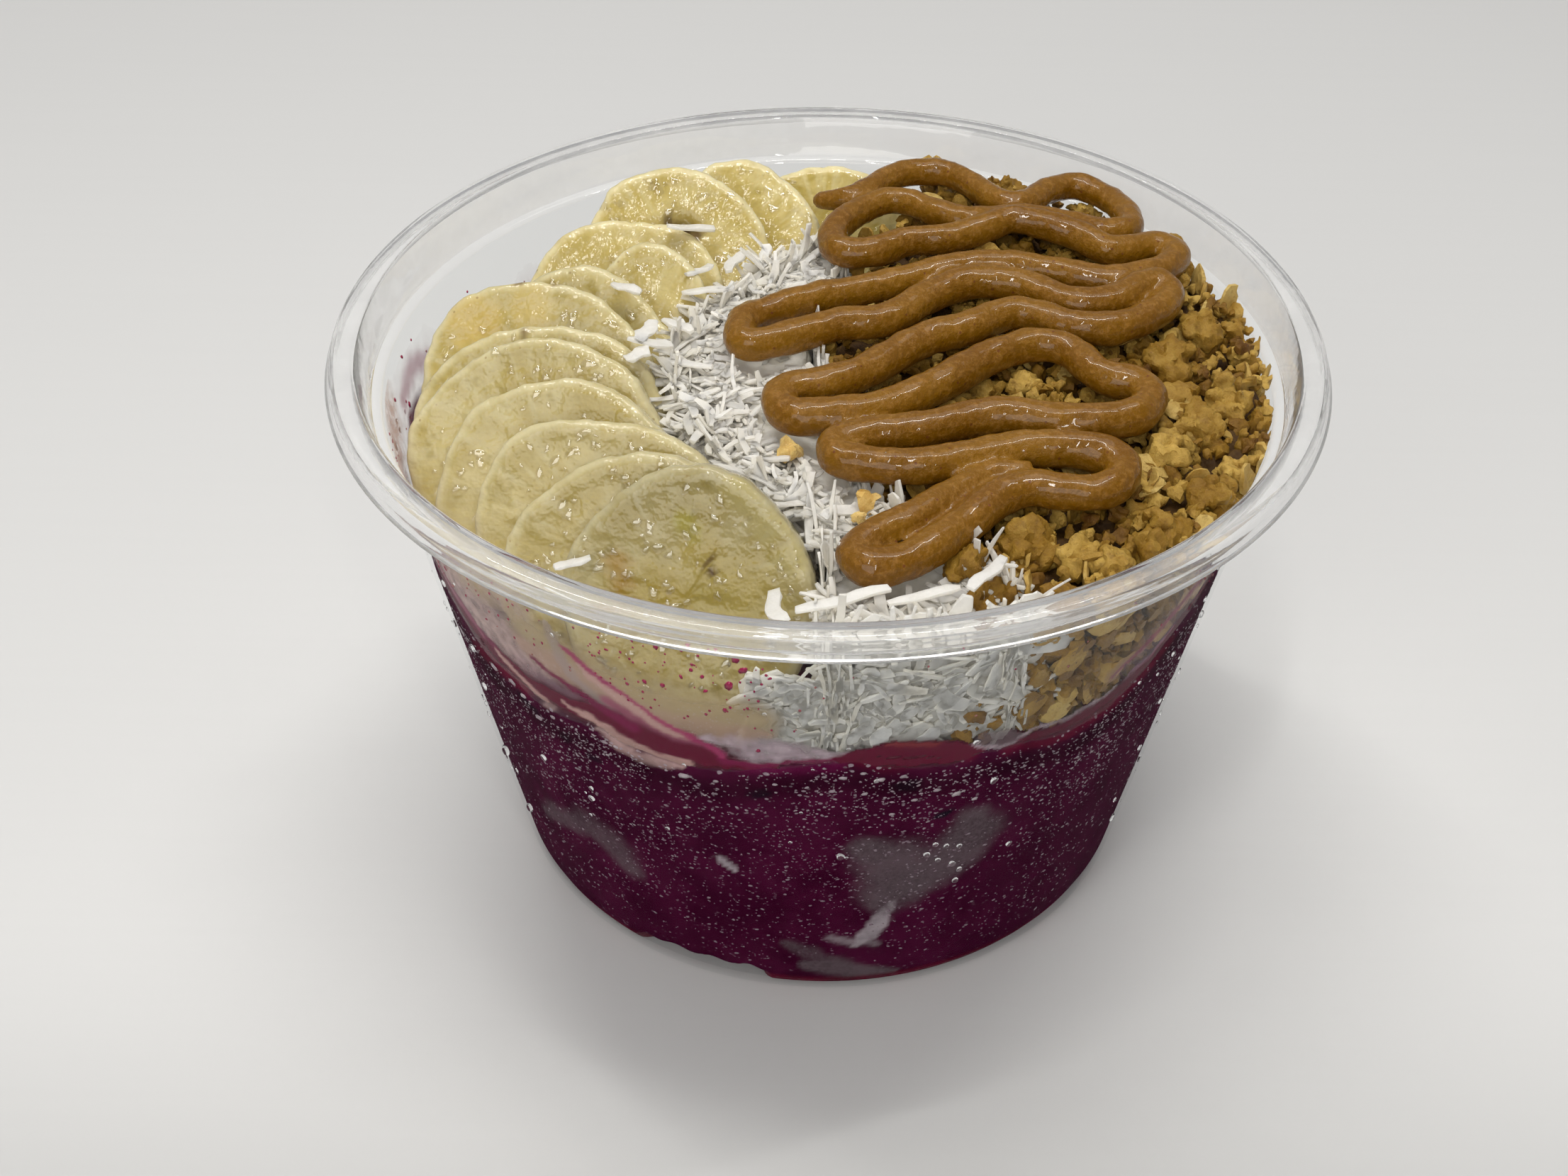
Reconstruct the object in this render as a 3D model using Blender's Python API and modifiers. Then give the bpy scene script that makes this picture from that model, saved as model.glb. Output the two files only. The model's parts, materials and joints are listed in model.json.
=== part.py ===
"""Acai bowl: a clear round tub filled with acai, a fan of banana slices, a band of
shredded coconut, a heap of granola and a zigzag of nut butter.

Metres, +Z up, origin at the centre of the tub's base. -Y is the eating side.
"""
import math

import bmesh
import bpy
from mathutils import Matrix, Vector

MM = 0.001

# ---- driving dimensions, in millimetres ------------------------------------
GAP = 0.3                   # clearance between touching pieces
WALL = 0.7                  # tub sheet
TUB_HEIGHT = 70.0
RIM_RADIUS = 58.5           # outside of the rim's skirt
SKIRT_DROP = 2.8            # how far the skirt hangs below the land
LAND_RADIUS = 57.2          # outer edge of the flat land
LIP_RADIUS = 55.0           # inner edge of the flat land
STEP_RADIUS = 52.9          # stacking step, outside of the straight wall
STEP_HEIGHT = 64.2
BASE_RADIUS = 39.3          # outside of the straight wall, just over the base
BASE_CORNER = 2.5
FOOT_RADIUS = 37.4
TUB_STEPS = 60

AZIMUTHS = 48               # steps round the food
CORE_LEVEL = 44.4           # acai under the toppings, at the eating side
CORE_SLOPE = 0.07           # it rises towards the far side
CORE_RIPPLE = 0.4
SHORE_FROM = 0.86           # share of the radius where it turns up or down to the wall
WAIST = 24.0                # a level halfway down the acai
# acai level on the wall, by compass angle from the eating side (+ to the right)
SHORE = {-180: 50.5, -120: 50.0, -90: 49.0, -66: 47.4, -48: 44.4, -24: 41.6, -12: 42.6,
         0: 45.0, 18: 46.0, 36: 45.2, 50: 50.0, 66: 50.8, 120: 50.5, 180: 50.5}
ACAI_RINGS = (0.0, 0.2, 0.4, 0.58, 0.74, 0.86, 0.94, 1.0)

HEAP_TOP = 66.0             # middle of the toppings
HEAP_FALL = 2.6             # drop at HEAP_REACH from the middle
HEAP_REACH = 52.0
HEAP_SLOPE = 0.022          # rise towards the far right
HEAP_BUMP = 1.3             # unevenness where nothing is laid on the heap
HEAP_CLEAR = 0.5            # from the acai and the wall
HEAP_RINGS = (0.0, 0.14, 0.28, 0.42, 0.56, 0.7, 0.85, 1.0)
HEAP_CALM = 4.0             # from the nut butter's middle, where it is pressed flat
PLAN_FLOOR, PLAN_ROOF = 38.0, 78.0      # heights between which the outlines below cut

SLICE_THICKNESS = 3.7
SLICE_SIDES = 22
SLICE_LOBES = 0.035         # a banana is slightly three-sided
SLICE_EDGE = 0.7
SLICE_ROOM = 0.35           # left free round a slice in the heaps

# A fallen row of slices, front one first, each leaning on the next:
# centre x, y, z; lean from level, heading of the face, half width, half height
FAN = [
    (-14.4, -36.8, 59.0, 60, -9, 14.0, 13.7),
    (-20.3, -31.4, 57.7, 58, -9, 14.4, 13.6),
    (-24.8, -25.1, 57.8, 56, -10, 14.9, 13.8),
    (-29.4, -18.8, 57.8, 54, -10, 15.6, 13.9),
    (-33.0, -11.6, 59.4, 53, -10, 15.4, 13.4),
    (-33.2, -6.6, 58.4, 52, -10, 15.3, 13.7),
    (-34.7, 0.7, 59.2, 49, -8, 14.6, 14.4),
    (-30.4, 5.8, 58.7, 47, -8, 13.0, 13.6),
    (-22.8, 11.0, 59.2, 46, -7, 8.8, 13.8),
    (-25.4, 18.0, 59.2, 45, -4, 12.8, 13.8),
    (-19.4, 26.8, 61.5, 44, 0, 12.1, 13.8),
    (-11.6, 33.0, 60.6, 42, 4, 11.3, 12.4),
    (-0.8, 38.8, 58.2, 39, 10, 12.4, 11.6),
]

# The slices that press into each heap
IN_COCONUT = (1, 2, 3, 4, 5, 6, 7, 8, 9, 10, 11, 12, 13)
IN_GRANOLA = (12, 13)

# Outlines seen from above, anticlockwise
COCONUT_PLAN = [(0, -56), (25, -56), (20, -40), (9, -30), (4, -20), (0, -6), (-1, 8), (3, 20),
                (2, 27), (-3, 28), (-7, 22), (-12, 17), (-17, 9), (-18.5, 1), (-18, -7),
                (-16, -14), (-11, -21), (-5, -27), (0, -32)]
GRANOLA_PLAN = [(25.5, -56), (60, -56), (60, 60), (14, 60), (13, 45), (8, 30), (3.6, 27.5),
                (3.5, 20), (-0.4, 8), (0.6, -6), (4.6, -20), (9.6, -30), (20.6, -40)]

# Nut butter, laid from the far left to the eating side, in passes seen from above
ROUTE = [
    (-2, 35.5), (2.5, 34), (5.5, 37.3), (9, 41.3), (13.5, 42.5), (17, 40.2), (22, 33.5),
    (25, 33.8), (28, 38), (32, 40.3), (35.8, 37), (37.8, 32), (37.3, 27.8), (33.5, 26.5),
    (30.5, 28), (24.5, 29.5), (18.5, 28.5), (14, 30), (10, 33), (7, 33.3), (3, 29.5),
    (0.6, 25), (1.2, 20.5), (5, 20), (9.5, 22.5), (15, 23.5), (19, 25), (23.5, 27),
    (30.5, 24.5), (34.5, 21.7), (38, 22.8), (41, 24), (42.8, 21.5), (40, 17), (33.5, 14),
    (28, 15.5), (21, 17), (15, 16), (6.5, 12), (-1, 9.5), (-8.5, 5.5), (-10.3, 2.5),
    (-9.3, -1), (-4, 0.8), (1, 3.3), (7, 4.5), (12, 9.5), (17.5, 13), (23.5, 12),
    (29, 8.5), (34, 9), (39, 13), (41, 11.5), (39, 7), (34.5, 3.5), (29, 3), (22.5, 6),
    (16, 2.2), (11.5, 0.2), (4.5, -6.5), (1, -8.7), (-4.5, -10.7), (-5.3, -13.5),
    (-3.5, -15.8), (1, -15.6), (5.5, -14.5), (11, -11), (18, -4.5), (23.5, -1), (28, -2),
    (31.5, -7.3), (35.5, -8.7), (36.6, -11.5), (34, -15.3), (27, -16.5), (19, -15.5),
    (11.5, -18), (5, -19.5), (1.5, -21), (1.5, -23.7), (6, -25), (11, -25), (16, -23.5),
    (20.5, -22), (26, -21.5), (31.5, -22.6), (32.4, -26), (30, -28.5), (26.5, -29),
    (22.5, -28.5), (18.5, -30.5), (13.5, -36.5), (9, -40.5), (5, -42), (3.2, -40), (5, -37.5),
    (10, -33.5), (14, -29.5), (18, -26), (22.5, -26),
]
ROPE_NEAR = 2.25            # bead radius at the eating side
ROPE_FAR = 1.8              # and at the far side
ROPE_TIP = 0.4              # the last stretch tapers to this part of it
ROPE_TAPER = 16.0
ROPE_CLEAR = 0.7            # under the bead
ROPE_SINK = 0.05            # part of its radius by which it sags
ROPE_TOUCH = 0.86           # crossing stretches press this close together
ROPE_CLIMB = 0.85
ROPE_EASE = 24              # rounds of easing of its heights
ROPE_VOXEL = 0.9
ROPE_DETAIL = 0.085         # share of the faces kept
SELF_REACH = 9.0            # along the bead, a nearer stretch is the same bend


# ---- helpers ---------------------------------------------------------------

def clear_scene():
    for item in list(bpy.data.objects):
        bpy.data.objects.remove(item, do_unlink=True)


def make_collection(name):
    group = bpy.data.collections.new(name)
    bpy.context.scene.collection.children.link(group)
    return group


def make_material(name, colour, roughness, alpha=1.0):
    material = bpy.data.materials.new(name)
    material.use_nodes = True
    shader = material.node_tree.nodes["Principled BSDF"]
    shader.inputs["Base Color"].default_value = (*colour, 1.0)
    shader.inputs["Roughness"].default_value = roughness
    shader.inputs["Metallic"].default_value = 0.0
    shader.inputs["Alpha"].default_value = alpha
    return material


def add_mesh(group, name, mesh, material):
    item = bpy.data.objects.new(name, mesh)
    group.objects.link(item)
    if material:
        mesh.materials.append(material)
    return item


def mesh_from(bm, name):
    bmesh.ops.recalc_face_normals(bm, faces=bm.faces)
    mesh = bpy.data.meshes.new(name)
    bm.to_mesh(mesh)
    bm.free()
    return mesh


def smooth(item, angle=math.radians(35)):
    item.data.shade_smooth()
    item.data.set_sharp_from_angle(angle=angle)


def hide_cutter(item):
    item.hide_render = True
    item.display_type = "WIRE"


def add_boolean(item, cutter, operation):
    modifier = item.modifiers.new(cutter.name, "BOOLEAN")
    modifier.operation = operation
    modifier.object = cutter


def compass(x, y):
    """Angle round the tub in degrees, 0 at the eating side, + to the right."""
    return math.degrees(math.atan2(x, -y))


def inner_radius(z):
    """Inside of the straight wall at height z."""
    share = (z - BASE_CORNER) / (STEP_HEIGHT - BASE_CORNER)
    return BASE_RADIUS + (STEP_RADIUS - BASE_RADIUS) * share - WALL


def shore_level(angle):
    """Acai level on the wall, eased between the stated angles."""
    angles = sorted(SHORE)
    for low, high in zip(angles, angles[1:]):
        if low <= angle <= high:
            share = (angle - low) / (high - low)
            ease = share * share * (3 - 2 * share)
            return SHORE[low] + (SHORE[high] - SHORE[low]) * ease
    return SHORE[180]


def core_level(x, y):
    """Acai surface under the toppings."""
    ripple = CORE_RIPPLE * math.sin(0.21 * x + 1.0) * math.cos(0.17 * y)
    return CORE_LEVEL + CORE_SLOPE * (y + FOOT_RADIUS) + ripple


def heap_level(x, y):
    """Mean top of the toppings: level in the middle, falling off near the wall."""
    out = (x * x + y * y) / HEAP_REACH ** 2
    return HEAP_TOP - HEAP_FALL * out * out + HEAP_SLOPE * (x + y)


def bumps(x, y):
    """Unevenness from -1 to 1, in lumps of several millimetres."""
    return (0.5 * math.sin(0.61 * x + 0.35 * y) * math.cos(0.53 * y - 0.22 * x + 0.7)
            + 0.3 * math.sin(1.13 * x - 0.81 * y + 2.1) + 0.2 * math.cos(1.37 * y + 0.4 * x))


# ---- tub -------------------------------------------------------------------

def tub_profile():
    """Half section from the middle of the floor, over the rim, to the middle of the base."""
    under = TUB_HEIGHT - WALL
    tip = TUB_HEIGHT - SKIRT_DROP
    return [
        (0, WALL), (FOOT_RADIUS - 0.6, WALL), (BASE_RADIUS - 1.2, 1.4),
        (BASE_RADIUS - WALL, BASE_CORNER), (STEP_RADIUS - WALL, STEP_HEIGHT),
        (STEP_RADIUS + 0.5, STEP_HEIGHT + 0.5), (LIP_RADIUS - 0.2, TUB_HEIGHT - 0.3),
        (LIP_RADIUS, TUB_HEIGHT), (LAND_RADIUS, TUB_HEIGHT), (LAND_RADIUS + 0.8, TUB_HEIGHT - 0.6),
        (LAND_RADIUS + 1.0, tip + 0.7), (RIM_RADIUS, tip + 0.4), (RIM_RADIUS, tip),
        (LAND_RADIUS + 0.4, tip + 0.1), (LAND_RADIUS + 0.2, under - 0.5), (LAND_RADIUS - 0.3, under),
        (LIP_RADIUS + 0.6, under), (STEP_RADIUS + 1.0, STEP_HEIGHT),
        (STEP_RADIUS, STEP_HEIGHT - 0.4), (BASE_RADIUS, BASE_CORNER), (BASE_RADIUS - 0.6, 0.8),
        (FOOT_RADIUS, 0), (0, 0),
    ]


def make_tub(group, material):
    bm = bmesh.new()
    points = [bm.verts.new((x * MM, 0, z * MM)) for x, z in tub_profile()]
    for first, second in zip(points, points[1:]):
        bm.edges.new((first, second))
    mesh = bpy.data.meshes.new("bowl")
    bm.to_mesh(mesh)
    bm.free()
    tub = add_mesh(group, "bowl", mesh, material)
    turn = tub.modifiers.new("turn", "SCREW")
    turn.axis = "Z"
    turn.steps = turn.render_steps = TUB_STEPS
    turn.use_merge_vertices = True
    turn.merge_threshold = 0.00001
    turn.use_smooth_shade = True
    return tub


# ---- filling: everything turned inside the wall ----------------------------

def turned_food(rows):
    """A closed body inside the wall, turned from a unit section.

    rows(angle) returns the section as (radius, function giving z at x, y), from
    the top's middle over the edge and down to the bottom's middle.
    """
    bm = bmesh.new()
    rings = []
    for step in range(AZIMUTHS):
        turn = 2 * math.pi * step / AZIMUTHS
        ring = []
        for radius, z in rows(turn):
            x, y = radius * math.sin(turn), -radius * math.cos(turn)
            ring.append(bm.verts.new((x * MM, y * MM, z(x, y) * MM)))
        rings.append(ring)
    for left, right in zip(rings, rings[1:] + rings[:1]):
        for low in range(len(left) - 1):
            bm.faces.new((left[low], left[low + 1], right[low + 1], right[low]))
    bmesh.ops.remove_doubles(bm, verts=bm.verts, dist=0.00001)
    bmesh.ops.triangulate(bm, faces=bm.faces, quad_method="SHORT_EDGE")
    return bm


def acai_top(x, y):
    """Acai surface: the level on the wall, easing to the core inside it."""
    shore = shore_level(compass(x, y))
    rim = math.hypot(x, y) / (inner_radius(shore) - GAP)
    blend = max(0.0, (rim - SHORE_FROM) / (1 - SHORE_FROM))
    core = core_level(x, y)
    return core + (shore - core) * blend * blend


def acai_section(turn):
    shore = shore_level(compass(math.sin(turn), -math.cos(turn)))
    edge = inner_radius(shore) - GAP
    floor = WALL + GAP
    section = [(edge * share, acai_top) for share in ACAI_RINGS]
    section += [(inner_radius(level) - GAP, lambda x, y, z=level: z)
                for level in (WAIST, BASE_CORNER + 2 * GAP)]
    section += [(FOOT_RADIUS - 2 * WALL, lambda x, y: floor), (0.0, lambda x, y: floor)]
    return section


def make_acai(group, material):
    mesh = mesh_from(turned_food(acai_section), "acai")
    acai = add_mesh(group, "acai", mesh, material)
    smooth(acai)
    return acai


# ---- banana slices ---------------------------------------------------------

def slice_frame(lean, heading):
    """Rotation whose Z is the face's normal and whose Y runs up the slope."""
    tilt, turn = math.radians(lean), math.radians(heading)
    normal = Vector((math.sin(tilt) * math.sin(turn), -math.sin(tilt) * math.cos(turn), math.cos(tilt)))
    up = Vector((-math.cos(tilt) * math.sin(turn), math.cos(tilt) * math.cos(turn), math.sin(tilt)))
    return Matrix((up.cross(normal), up, normal)).transposed()


def slice_mesh(name, width, height, twist, grow=0.0):
    """A rounded three-sided disc, grown all over when it serves as a cutter."""
    bm = bmesh.new()
    bmesh.ops.create_cone(bm, cap_ends=True, segments=SLICE_SIDES, radius1=1.0, radius2=1.0,
                          depth=(SLICE_THICKNESS + 2 * grow) * MM)
    for vert in bm.verts:
        angle = math.atan2(vert.co.y, vert.co.x)
        lobe = 1 + SLICE_LOBES * math.cos(3 * angle + twist) + 0.4 * SLICE_LOBES * math.cos(5 * angle - twist)
        vert.co.x *= (width * lobe + grow) * MM
        vert.co.y *= (height * lobe + grow) * MM
    return mesh_from(bm, name)


def make_slice(group, index, place, material, grow=0.0):
    x, y, z, lean, heading, width, height = place
    name = f"banana_slice_{index:02d}" + ("_room" if grow else "")
    item = add_mesh(group, name, slice_mesh(name, width, height, 1.7 * index, grow), material)
    item.location = (x * MM, y * MM, z * MM)
    item.rotation_euler = slice_frame(lean, heading).to_euler()
    if not grow:
        bevel = item.modifiers.new("edge", "BEVEL")
        bevel.width = SLICE_EDGE * MM
        bevel.segments = 1
        bevel.limit_method = "ANGLE"
        smooth(item)
    return item


# ---- nut butter ------------------------------------------------------------

def smooth_route(points, pieces):
    """Catmull-Rom curve through the points, with its ends carried straight on."""
    points = [Vector(p) for p in points]
    ends = [2 * points[0] - points[1]] + points + [2 * points[-1] - points[-2]]
    curve = []
    for a, b, c, d in zip(ends, ends[1:], ends[2:], ends[3:]):
        for step in range(pieces):
            t = step / pieces
            curve.append(0.5 * (2 * b + (c - a) * t + (2 * a - 5 * b + 4 * c - d) * t * t
                                + (3 * b - a - 3 * c + d) * t ** 3))
    curve.append(points[-1])
    return curve


def bead_radius(y, to_end):
    share = min(1.0, max(0.0, (y + 10.0) / 50.0))
    radius = ROPE_NEAR + (ROPE_FAR - ROPE_NEAR) * share
    if to_end < ROPE_TAPER:
        radius *= ROPE_TIP + (1 - ROPE_TIP) * (to_end / ROPE_TAPER) ** 0.7
    return radius


def laid_bead():
    """Points (x, y, z, radius) of the bead as it is laid: where it comes to an
    earlier stretch it climbs over it."""
    flat = smooth_route(ROUTE, 3)
    along = [0.0]
    for first, second in zip(flat, flat[1:]):
        along.append(along[-1] + (second - first).length)
    radii = [bead_radius(p.y, along[-1] - s) for p, s in zip(flat, along)]
    rest = [heap_level(*p) + ROPE_CLEAR + (1 - ROPE_SINK) * r for p, r in zip(flat, radii)]
    height = list(rest)
    for late, spot in enumerate(flat):
        for early in range(late):
            if along[late] - along[early] < SELF_REACH:
                break
            apart = (spot - flat[early]).length
            touch = ROPE_TOUCH * (radii[late] + radii[early])
            if apart < touch:
                climb = height[early] + ROPE_CLIMB * math.sqrt(touch ** 2 - apart ** 2)
                height[late] = max(height[late], climb)
    for _ in range(ROPE_EASE):
        eased = [(a + 2 * b + c) / 4 for a, b, c in zip(height, height[1:], height[2:])]
        height = [height[0]] + [max(r, e) for r, e in zip(rest[1:-1], eased)] + [height[-1]]
    return [(p.x, p.y, z, r) for p, z, r in zip(flat, height, radii)]


def make_bead(group, material, bead):
    curve = bpy.data.curves.new("bead", "CURVE")
    curve.dimensions = "3D"
    curve.bevel_depth = MM
    curve.bevel_resolution = 2
    curve.use_fill_caps = True
    spline = curve.splines.new("POLY")
    spline.points.add(len(bead) - 1)
    for point, (x, y, z, radius) in zip(spline.points, bead):
        point.co = (x * MM, y * MM, z * MM, 1.0)
        point.radius = radius
    guide = bpy.data.objects.new("bead", curve)
    group.objects.link(guide)
    bpy.context.view_layer.update()
    graph = bpy.context.evaluated_depsgraph_get()
    mesh = bpy.data.meshes.new_from_object(guide.evaluated_get(graph))
    bpy.data.objects.remove(guide, do_unlink=True)
    bm = bmesh.new()
    bm.from_mesh(mesh)
    bmesh.ops.remove_doubles(bm, verts=bm.verts, dist=0.00001)
    bm.to_mesh(mesh)
    bm.free()
    rope = add_mesh(group, "peanut_butter", mesh, None)
    mesh.materials.clear()
    mesh.materials.append(material)
    blend = rope.modifiers.new("blend", "REMESH")
    blend.mode = "VOXEL"
    blend.voxel_size = ROPE_VOXEL * MM
    thin = rope.modifiers.new("thin", "DECIMATE")
    thin.ratio = ROPE_DETAIL
    return rope


# ---- heaps -----------------------------------------------------------------

def heap_section(bead):
    spots = bead[::3]

    def top(x, y):
        near = min((x - px) ** 2 + (y - py) ** 2 for px, py, _, _ in spots)
        free = min(1.0, max(0.0, math.sqrt(near) / HEAP_CALM - 1))
        level = heap_level(x, y)
        return level + HEAP_BUMP * (bumps(x, y) * free - abs(bumps(x, y)) * (1 - free))

    def rows(turn):
        side, back = math.sin(turn), -math.cos(turn)
        edge = inner_radius(shore_level(compass(side, back))) - HEAP_CLEAR
        brink = top(HEAP_REACH * side, HEAP_REACH * back)
        reach = inner_radius(min(brink, STEP_HEIGHT)) - HEAP_CLEAR
        section = [(reach * share, top) for share in HEAP_RINGS]
        section += [(edge * share, lambda x, y: acai_top(x, y) + HEAP_CLEAR)
                    for share in reversed(ACAI_RINGS)]
        return section
    return rows


def plan_prism(group, name, plan):
    """An upright prism over an outline, as a guide for one of the heaps."""
    curve = bpy.data.curves.new(name, "CURVE")
    curve.dimensions = "2D"
    curve.fill_mode = "BOTH"
    curve.extrude = (PLAN_ROOF - PLAN_FLOOR) / 2 * MM
    spline = curve.splines.new("POLY")
    spline.points.add(len(plan) - 1)
    for point, (x, y) in zip(spline.points, plan):
        point.co = (x * MM, y * MM, 0, 1)
    spline.use_cyclic_u = True
    guide = bpy.data.objects.new(name, curve)
    guide.location.z = (PLAN_ROOF + PLAN_FLOOR) / 2 * MM
    group.objects.link(guide)
    bpy.context.view_layer.update()
    graph = bpy.context.evaluated_depsgraph_get()
    mesh = bpy.data.meshes.new_from_object(guide.evaluated_get(graph))
    bm = bmesh.new()
    bm.from_mesh(mesh)
    bmesh.ops.remove_doubles(bm, verts=bm.verts, dist=0.00001)
    bm.transform(guide.matrix_world)
    bpy.data.objects.remove(guide, do_unlink=True)
    prism = add_mesh(group, name, mesh_from(bm, name), None)
    hide_cutter(prism)
    return prism


def make_heap(group, cutters, name, plan, bead, rooms, material):
    mesh = mesh_from(turned_food(heap_section(bead)), name)
    heap = add_mesh(group, name, mesh, material)
    add_boolean(heap, plan_prism(cutters, name + "_plan", plan), "INTERSECT")
    for room in rooms:
        add_boolean(heap, room, "DIFFERENCE")
    return heap


# ---- assembly --------------------------------------------------------------

def main():
    clear_scene()
    parts = make_collection("acai_bowl")
    cutters = make_collection("cutters")
    clear = make_material("clear plastic", (0.86, 0.87, 0.87), 0.12, 0.35)
    purple = make_material("acai", (0.10, 0.008, 0.06), 0.35)
    cream = make_material("banana", (0.74, 0.64, 0.36), 0.3)
    white = make_material("coconut", (0.86, 0.86, 0.84), 0.6)
    golden = make_material("granola", (0.45, 0.29, 0.12), 0.7)
    brown = make_material("nut butter", (0.36, 0.17, 0.05), 0.3)

    make_tub(parts, clear)
    make_acai(parts, purple)
    for index, place in enumerate(FAN, 1):
        make_slice(parts, index, place, cream)
    rooms = {}
    for index in sorted({*IN_COCONUT, *IN_GRANOLA}):
        rooms[index] = make_slice(cutters, index, FAN[index - 1], None, SLICE_ROOM)
        hide_cutter(rooms[index])
    bead = laid_bead()
    make_heap(parts, cutters, "coconut", COCONUT_PLAN, bead, [rooms[i] for i in IN_COCONUT], white)
    make_heap(parts, cutters, "granola", GRANOLA_PLAN, bead, [rooms[i] for i in IN_GRANOLA], golden)
    make_bead(parts, brown, bead)


main()
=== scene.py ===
import json
import math
import random

import bmesh
import bpy
import numpy as np
from mathutils import Euler, Matrix, Vector, noise
from mathutils.bvhtree import BVHTree

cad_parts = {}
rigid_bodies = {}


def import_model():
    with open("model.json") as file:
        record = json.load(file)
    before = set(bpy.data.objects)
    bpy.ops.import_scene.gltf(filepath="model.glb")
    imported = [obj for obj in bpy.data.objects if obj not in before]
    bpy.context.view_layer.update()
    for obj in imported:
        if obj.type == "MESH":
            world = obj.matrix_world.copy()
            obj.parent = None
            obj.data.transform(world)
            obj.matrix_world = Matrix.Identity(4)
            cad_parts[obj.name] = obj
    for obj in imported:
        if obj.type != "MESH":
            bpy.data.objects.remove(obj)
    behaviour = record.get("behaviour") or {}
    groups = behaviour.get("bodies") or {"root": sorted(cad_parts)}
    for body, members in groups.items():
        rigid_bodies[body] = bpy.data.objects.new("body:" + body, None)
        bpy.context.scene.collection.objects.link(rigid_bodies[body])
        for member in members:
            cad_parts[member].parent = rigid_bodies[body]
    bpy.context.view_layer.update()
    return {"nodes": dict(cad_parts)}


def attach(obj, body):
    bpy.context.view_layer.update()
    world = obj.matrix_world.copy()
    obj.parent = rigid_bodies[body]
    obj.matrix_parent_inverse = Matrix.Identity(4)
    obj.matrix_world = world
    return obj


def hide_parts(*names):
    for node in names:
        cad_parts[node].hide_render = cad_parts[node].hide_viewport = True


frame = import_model()
mm = 0.001


# tools that the pieces share
def deselectAll():
    if bpy.context.object and bpy.context.object.mode != "OBJECT":
        bpy.ops.object.mode_set(mode="OBJECT")
    bpy.ops.object.select_all(action="DESELECT")


def activate(piece):
    deselectAll()
    piece.select_set(True)
    bpy.context.view_layer.objects.active = piece


def applyAll(piece):
    activate(piece)
    for modifier in list(piece.modifiers):
        bpy.ops.object.modifier_apply(modifier=modifier.name)


def settle(piece):
    # its place goes into its mesh
    activate(piece)
    bpy.ops.object.transform_apply(location=True, rotation=True, scale=True)


def corners(piece):
    flat = np.empty(len(piece.data.vertices) * 3, np.float32)
    piece.data.vertices.foreach_get("co", flat)
    return flat.reshape(-1, 3).astype(float)


def setCorners(piece, points):
    piece.data.vertices.foreach_set("co", np.asarray(points, np.float32).ravel())
    piece.data.update()


def triangles(piece):
    piece.data.calc_loop_triangles()
    flat = np.empty(len(piece.data.loop_triangles) * 3, np.int32)
    piece.data.loop_triangles.foreach_get("vertices", flat)
    return flat.reshape(-1, 3)


def shapeOf(piece):
    # its corners and triangles; the piece itself goes
    shape = corners(piece), triangles(piece)
    bpy.data.objects.remove(piece, do_unlink=True)
    return shape


def editWhole(piece, operator, **settings):
    # one edit-mode operator on all of a piece
    activate(piece)
    bpy.ops.object.mode_set(mode="EDIT")
    bpy.ops.mesh.select_all(action="SELECT")
    operator(**settings)
    bpy.ops.object.mode_set(mode="OBJECT")


def faceOutward(piece):
    editWhole(piece, bpy.ops.mesh.normals_make_consistent, inside=False)


def addRemesh(piece, name, voxel):
    remesh = piece.modifiers.new(name, "REMESH")
    remesh.mode = "VOXEL"
    remesh.voxel_size = voxel * mm


def pushedOut(piece, amount):
    # its corners, each moved along its normal by amount(corner) in mm
    points = corners(piece)
    normals = np.empty(len(points) * 3, np.float32)
    piece.data.vertices.foreach_get("normal", normals)
    push = np.array([amount(point) for point in points])
    return points + normals.reshape(-1, 3) * push[:, None] * mm


def turnedShell(name, profile, segments):
    # (radius, height) pairs in mm; it ends in a point where the radius is 0
    deselectAll()
    start = profile[0]
    closed = start[0] == 0
    if closed:
        profile = profile[1:]
        start = (profile[0][0], start[1])
    bpy.ops.mesh.primitive_circle_add(vertices=segments, radius=profile[0][0] * mm,
                                      fill_type="TRIFAN" if closed else "NOTHING")
    piece = bpy.context.object
    piece.name = piece.data.name = name
    if closed:
        points = corners(piece)
        points[:, 2] = np.where(np.hypot(points[:, 0], points[:, 1]) < 1e-6, start[1], profile[0][1]) * mm
        setCorners(piece, points)
    bpy.ops.object.mode_set(mode="EDIT")
    bpy.ops.mesh.select_mode(type="EDGE")
    bpy.ops.mesh.select_all(action="SELECT")
    if closed:
        bpy.ops.mesh.region_to_loop()
    else:
        bpy.ops.transform.translate(value=(0, 0, profile[0][1] * mm))
    radius, height = profile[0]
    for nextRadius, nextHeight in profile[1:]:
        bpy.ops.mesh.extrude_region_move(TRANSFORM_OT_translate={"value": (0, 0, (nextHeight - height) * mm)})
        if nextRadius == 0:
            bpy.ops.mesh.merge(type="CENTER")
            break
        grow = nextRadius / radius
        bpy.ops.transform.resize(value=(grow, grow, 1), center_override=(0, 0, nextHeight * mm))
        radius, height = nextRadius, nextHeight
    faceOutward(piece)
    return piece


def wobble(point, size, seed=0.0):
    # smooth noise from -1 to 1; size is the width of its lumps in mm
    return noise.noise(Vector(point) / (size * mm) + Vector((seed, seed * 1.7, -seed)))


def layered(x, y, z, parts):
    # the sum of several (scale, share) sizes of noise
    return sum(share * noise.noise(Vector((x * scale, y * scale, z))) for scale, share in parts)


def softStep(low, high, value):
    share = np.clip((value - low) / (high - low), 0, 1)
    return share * share * (3 - 2 * share)


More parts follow.
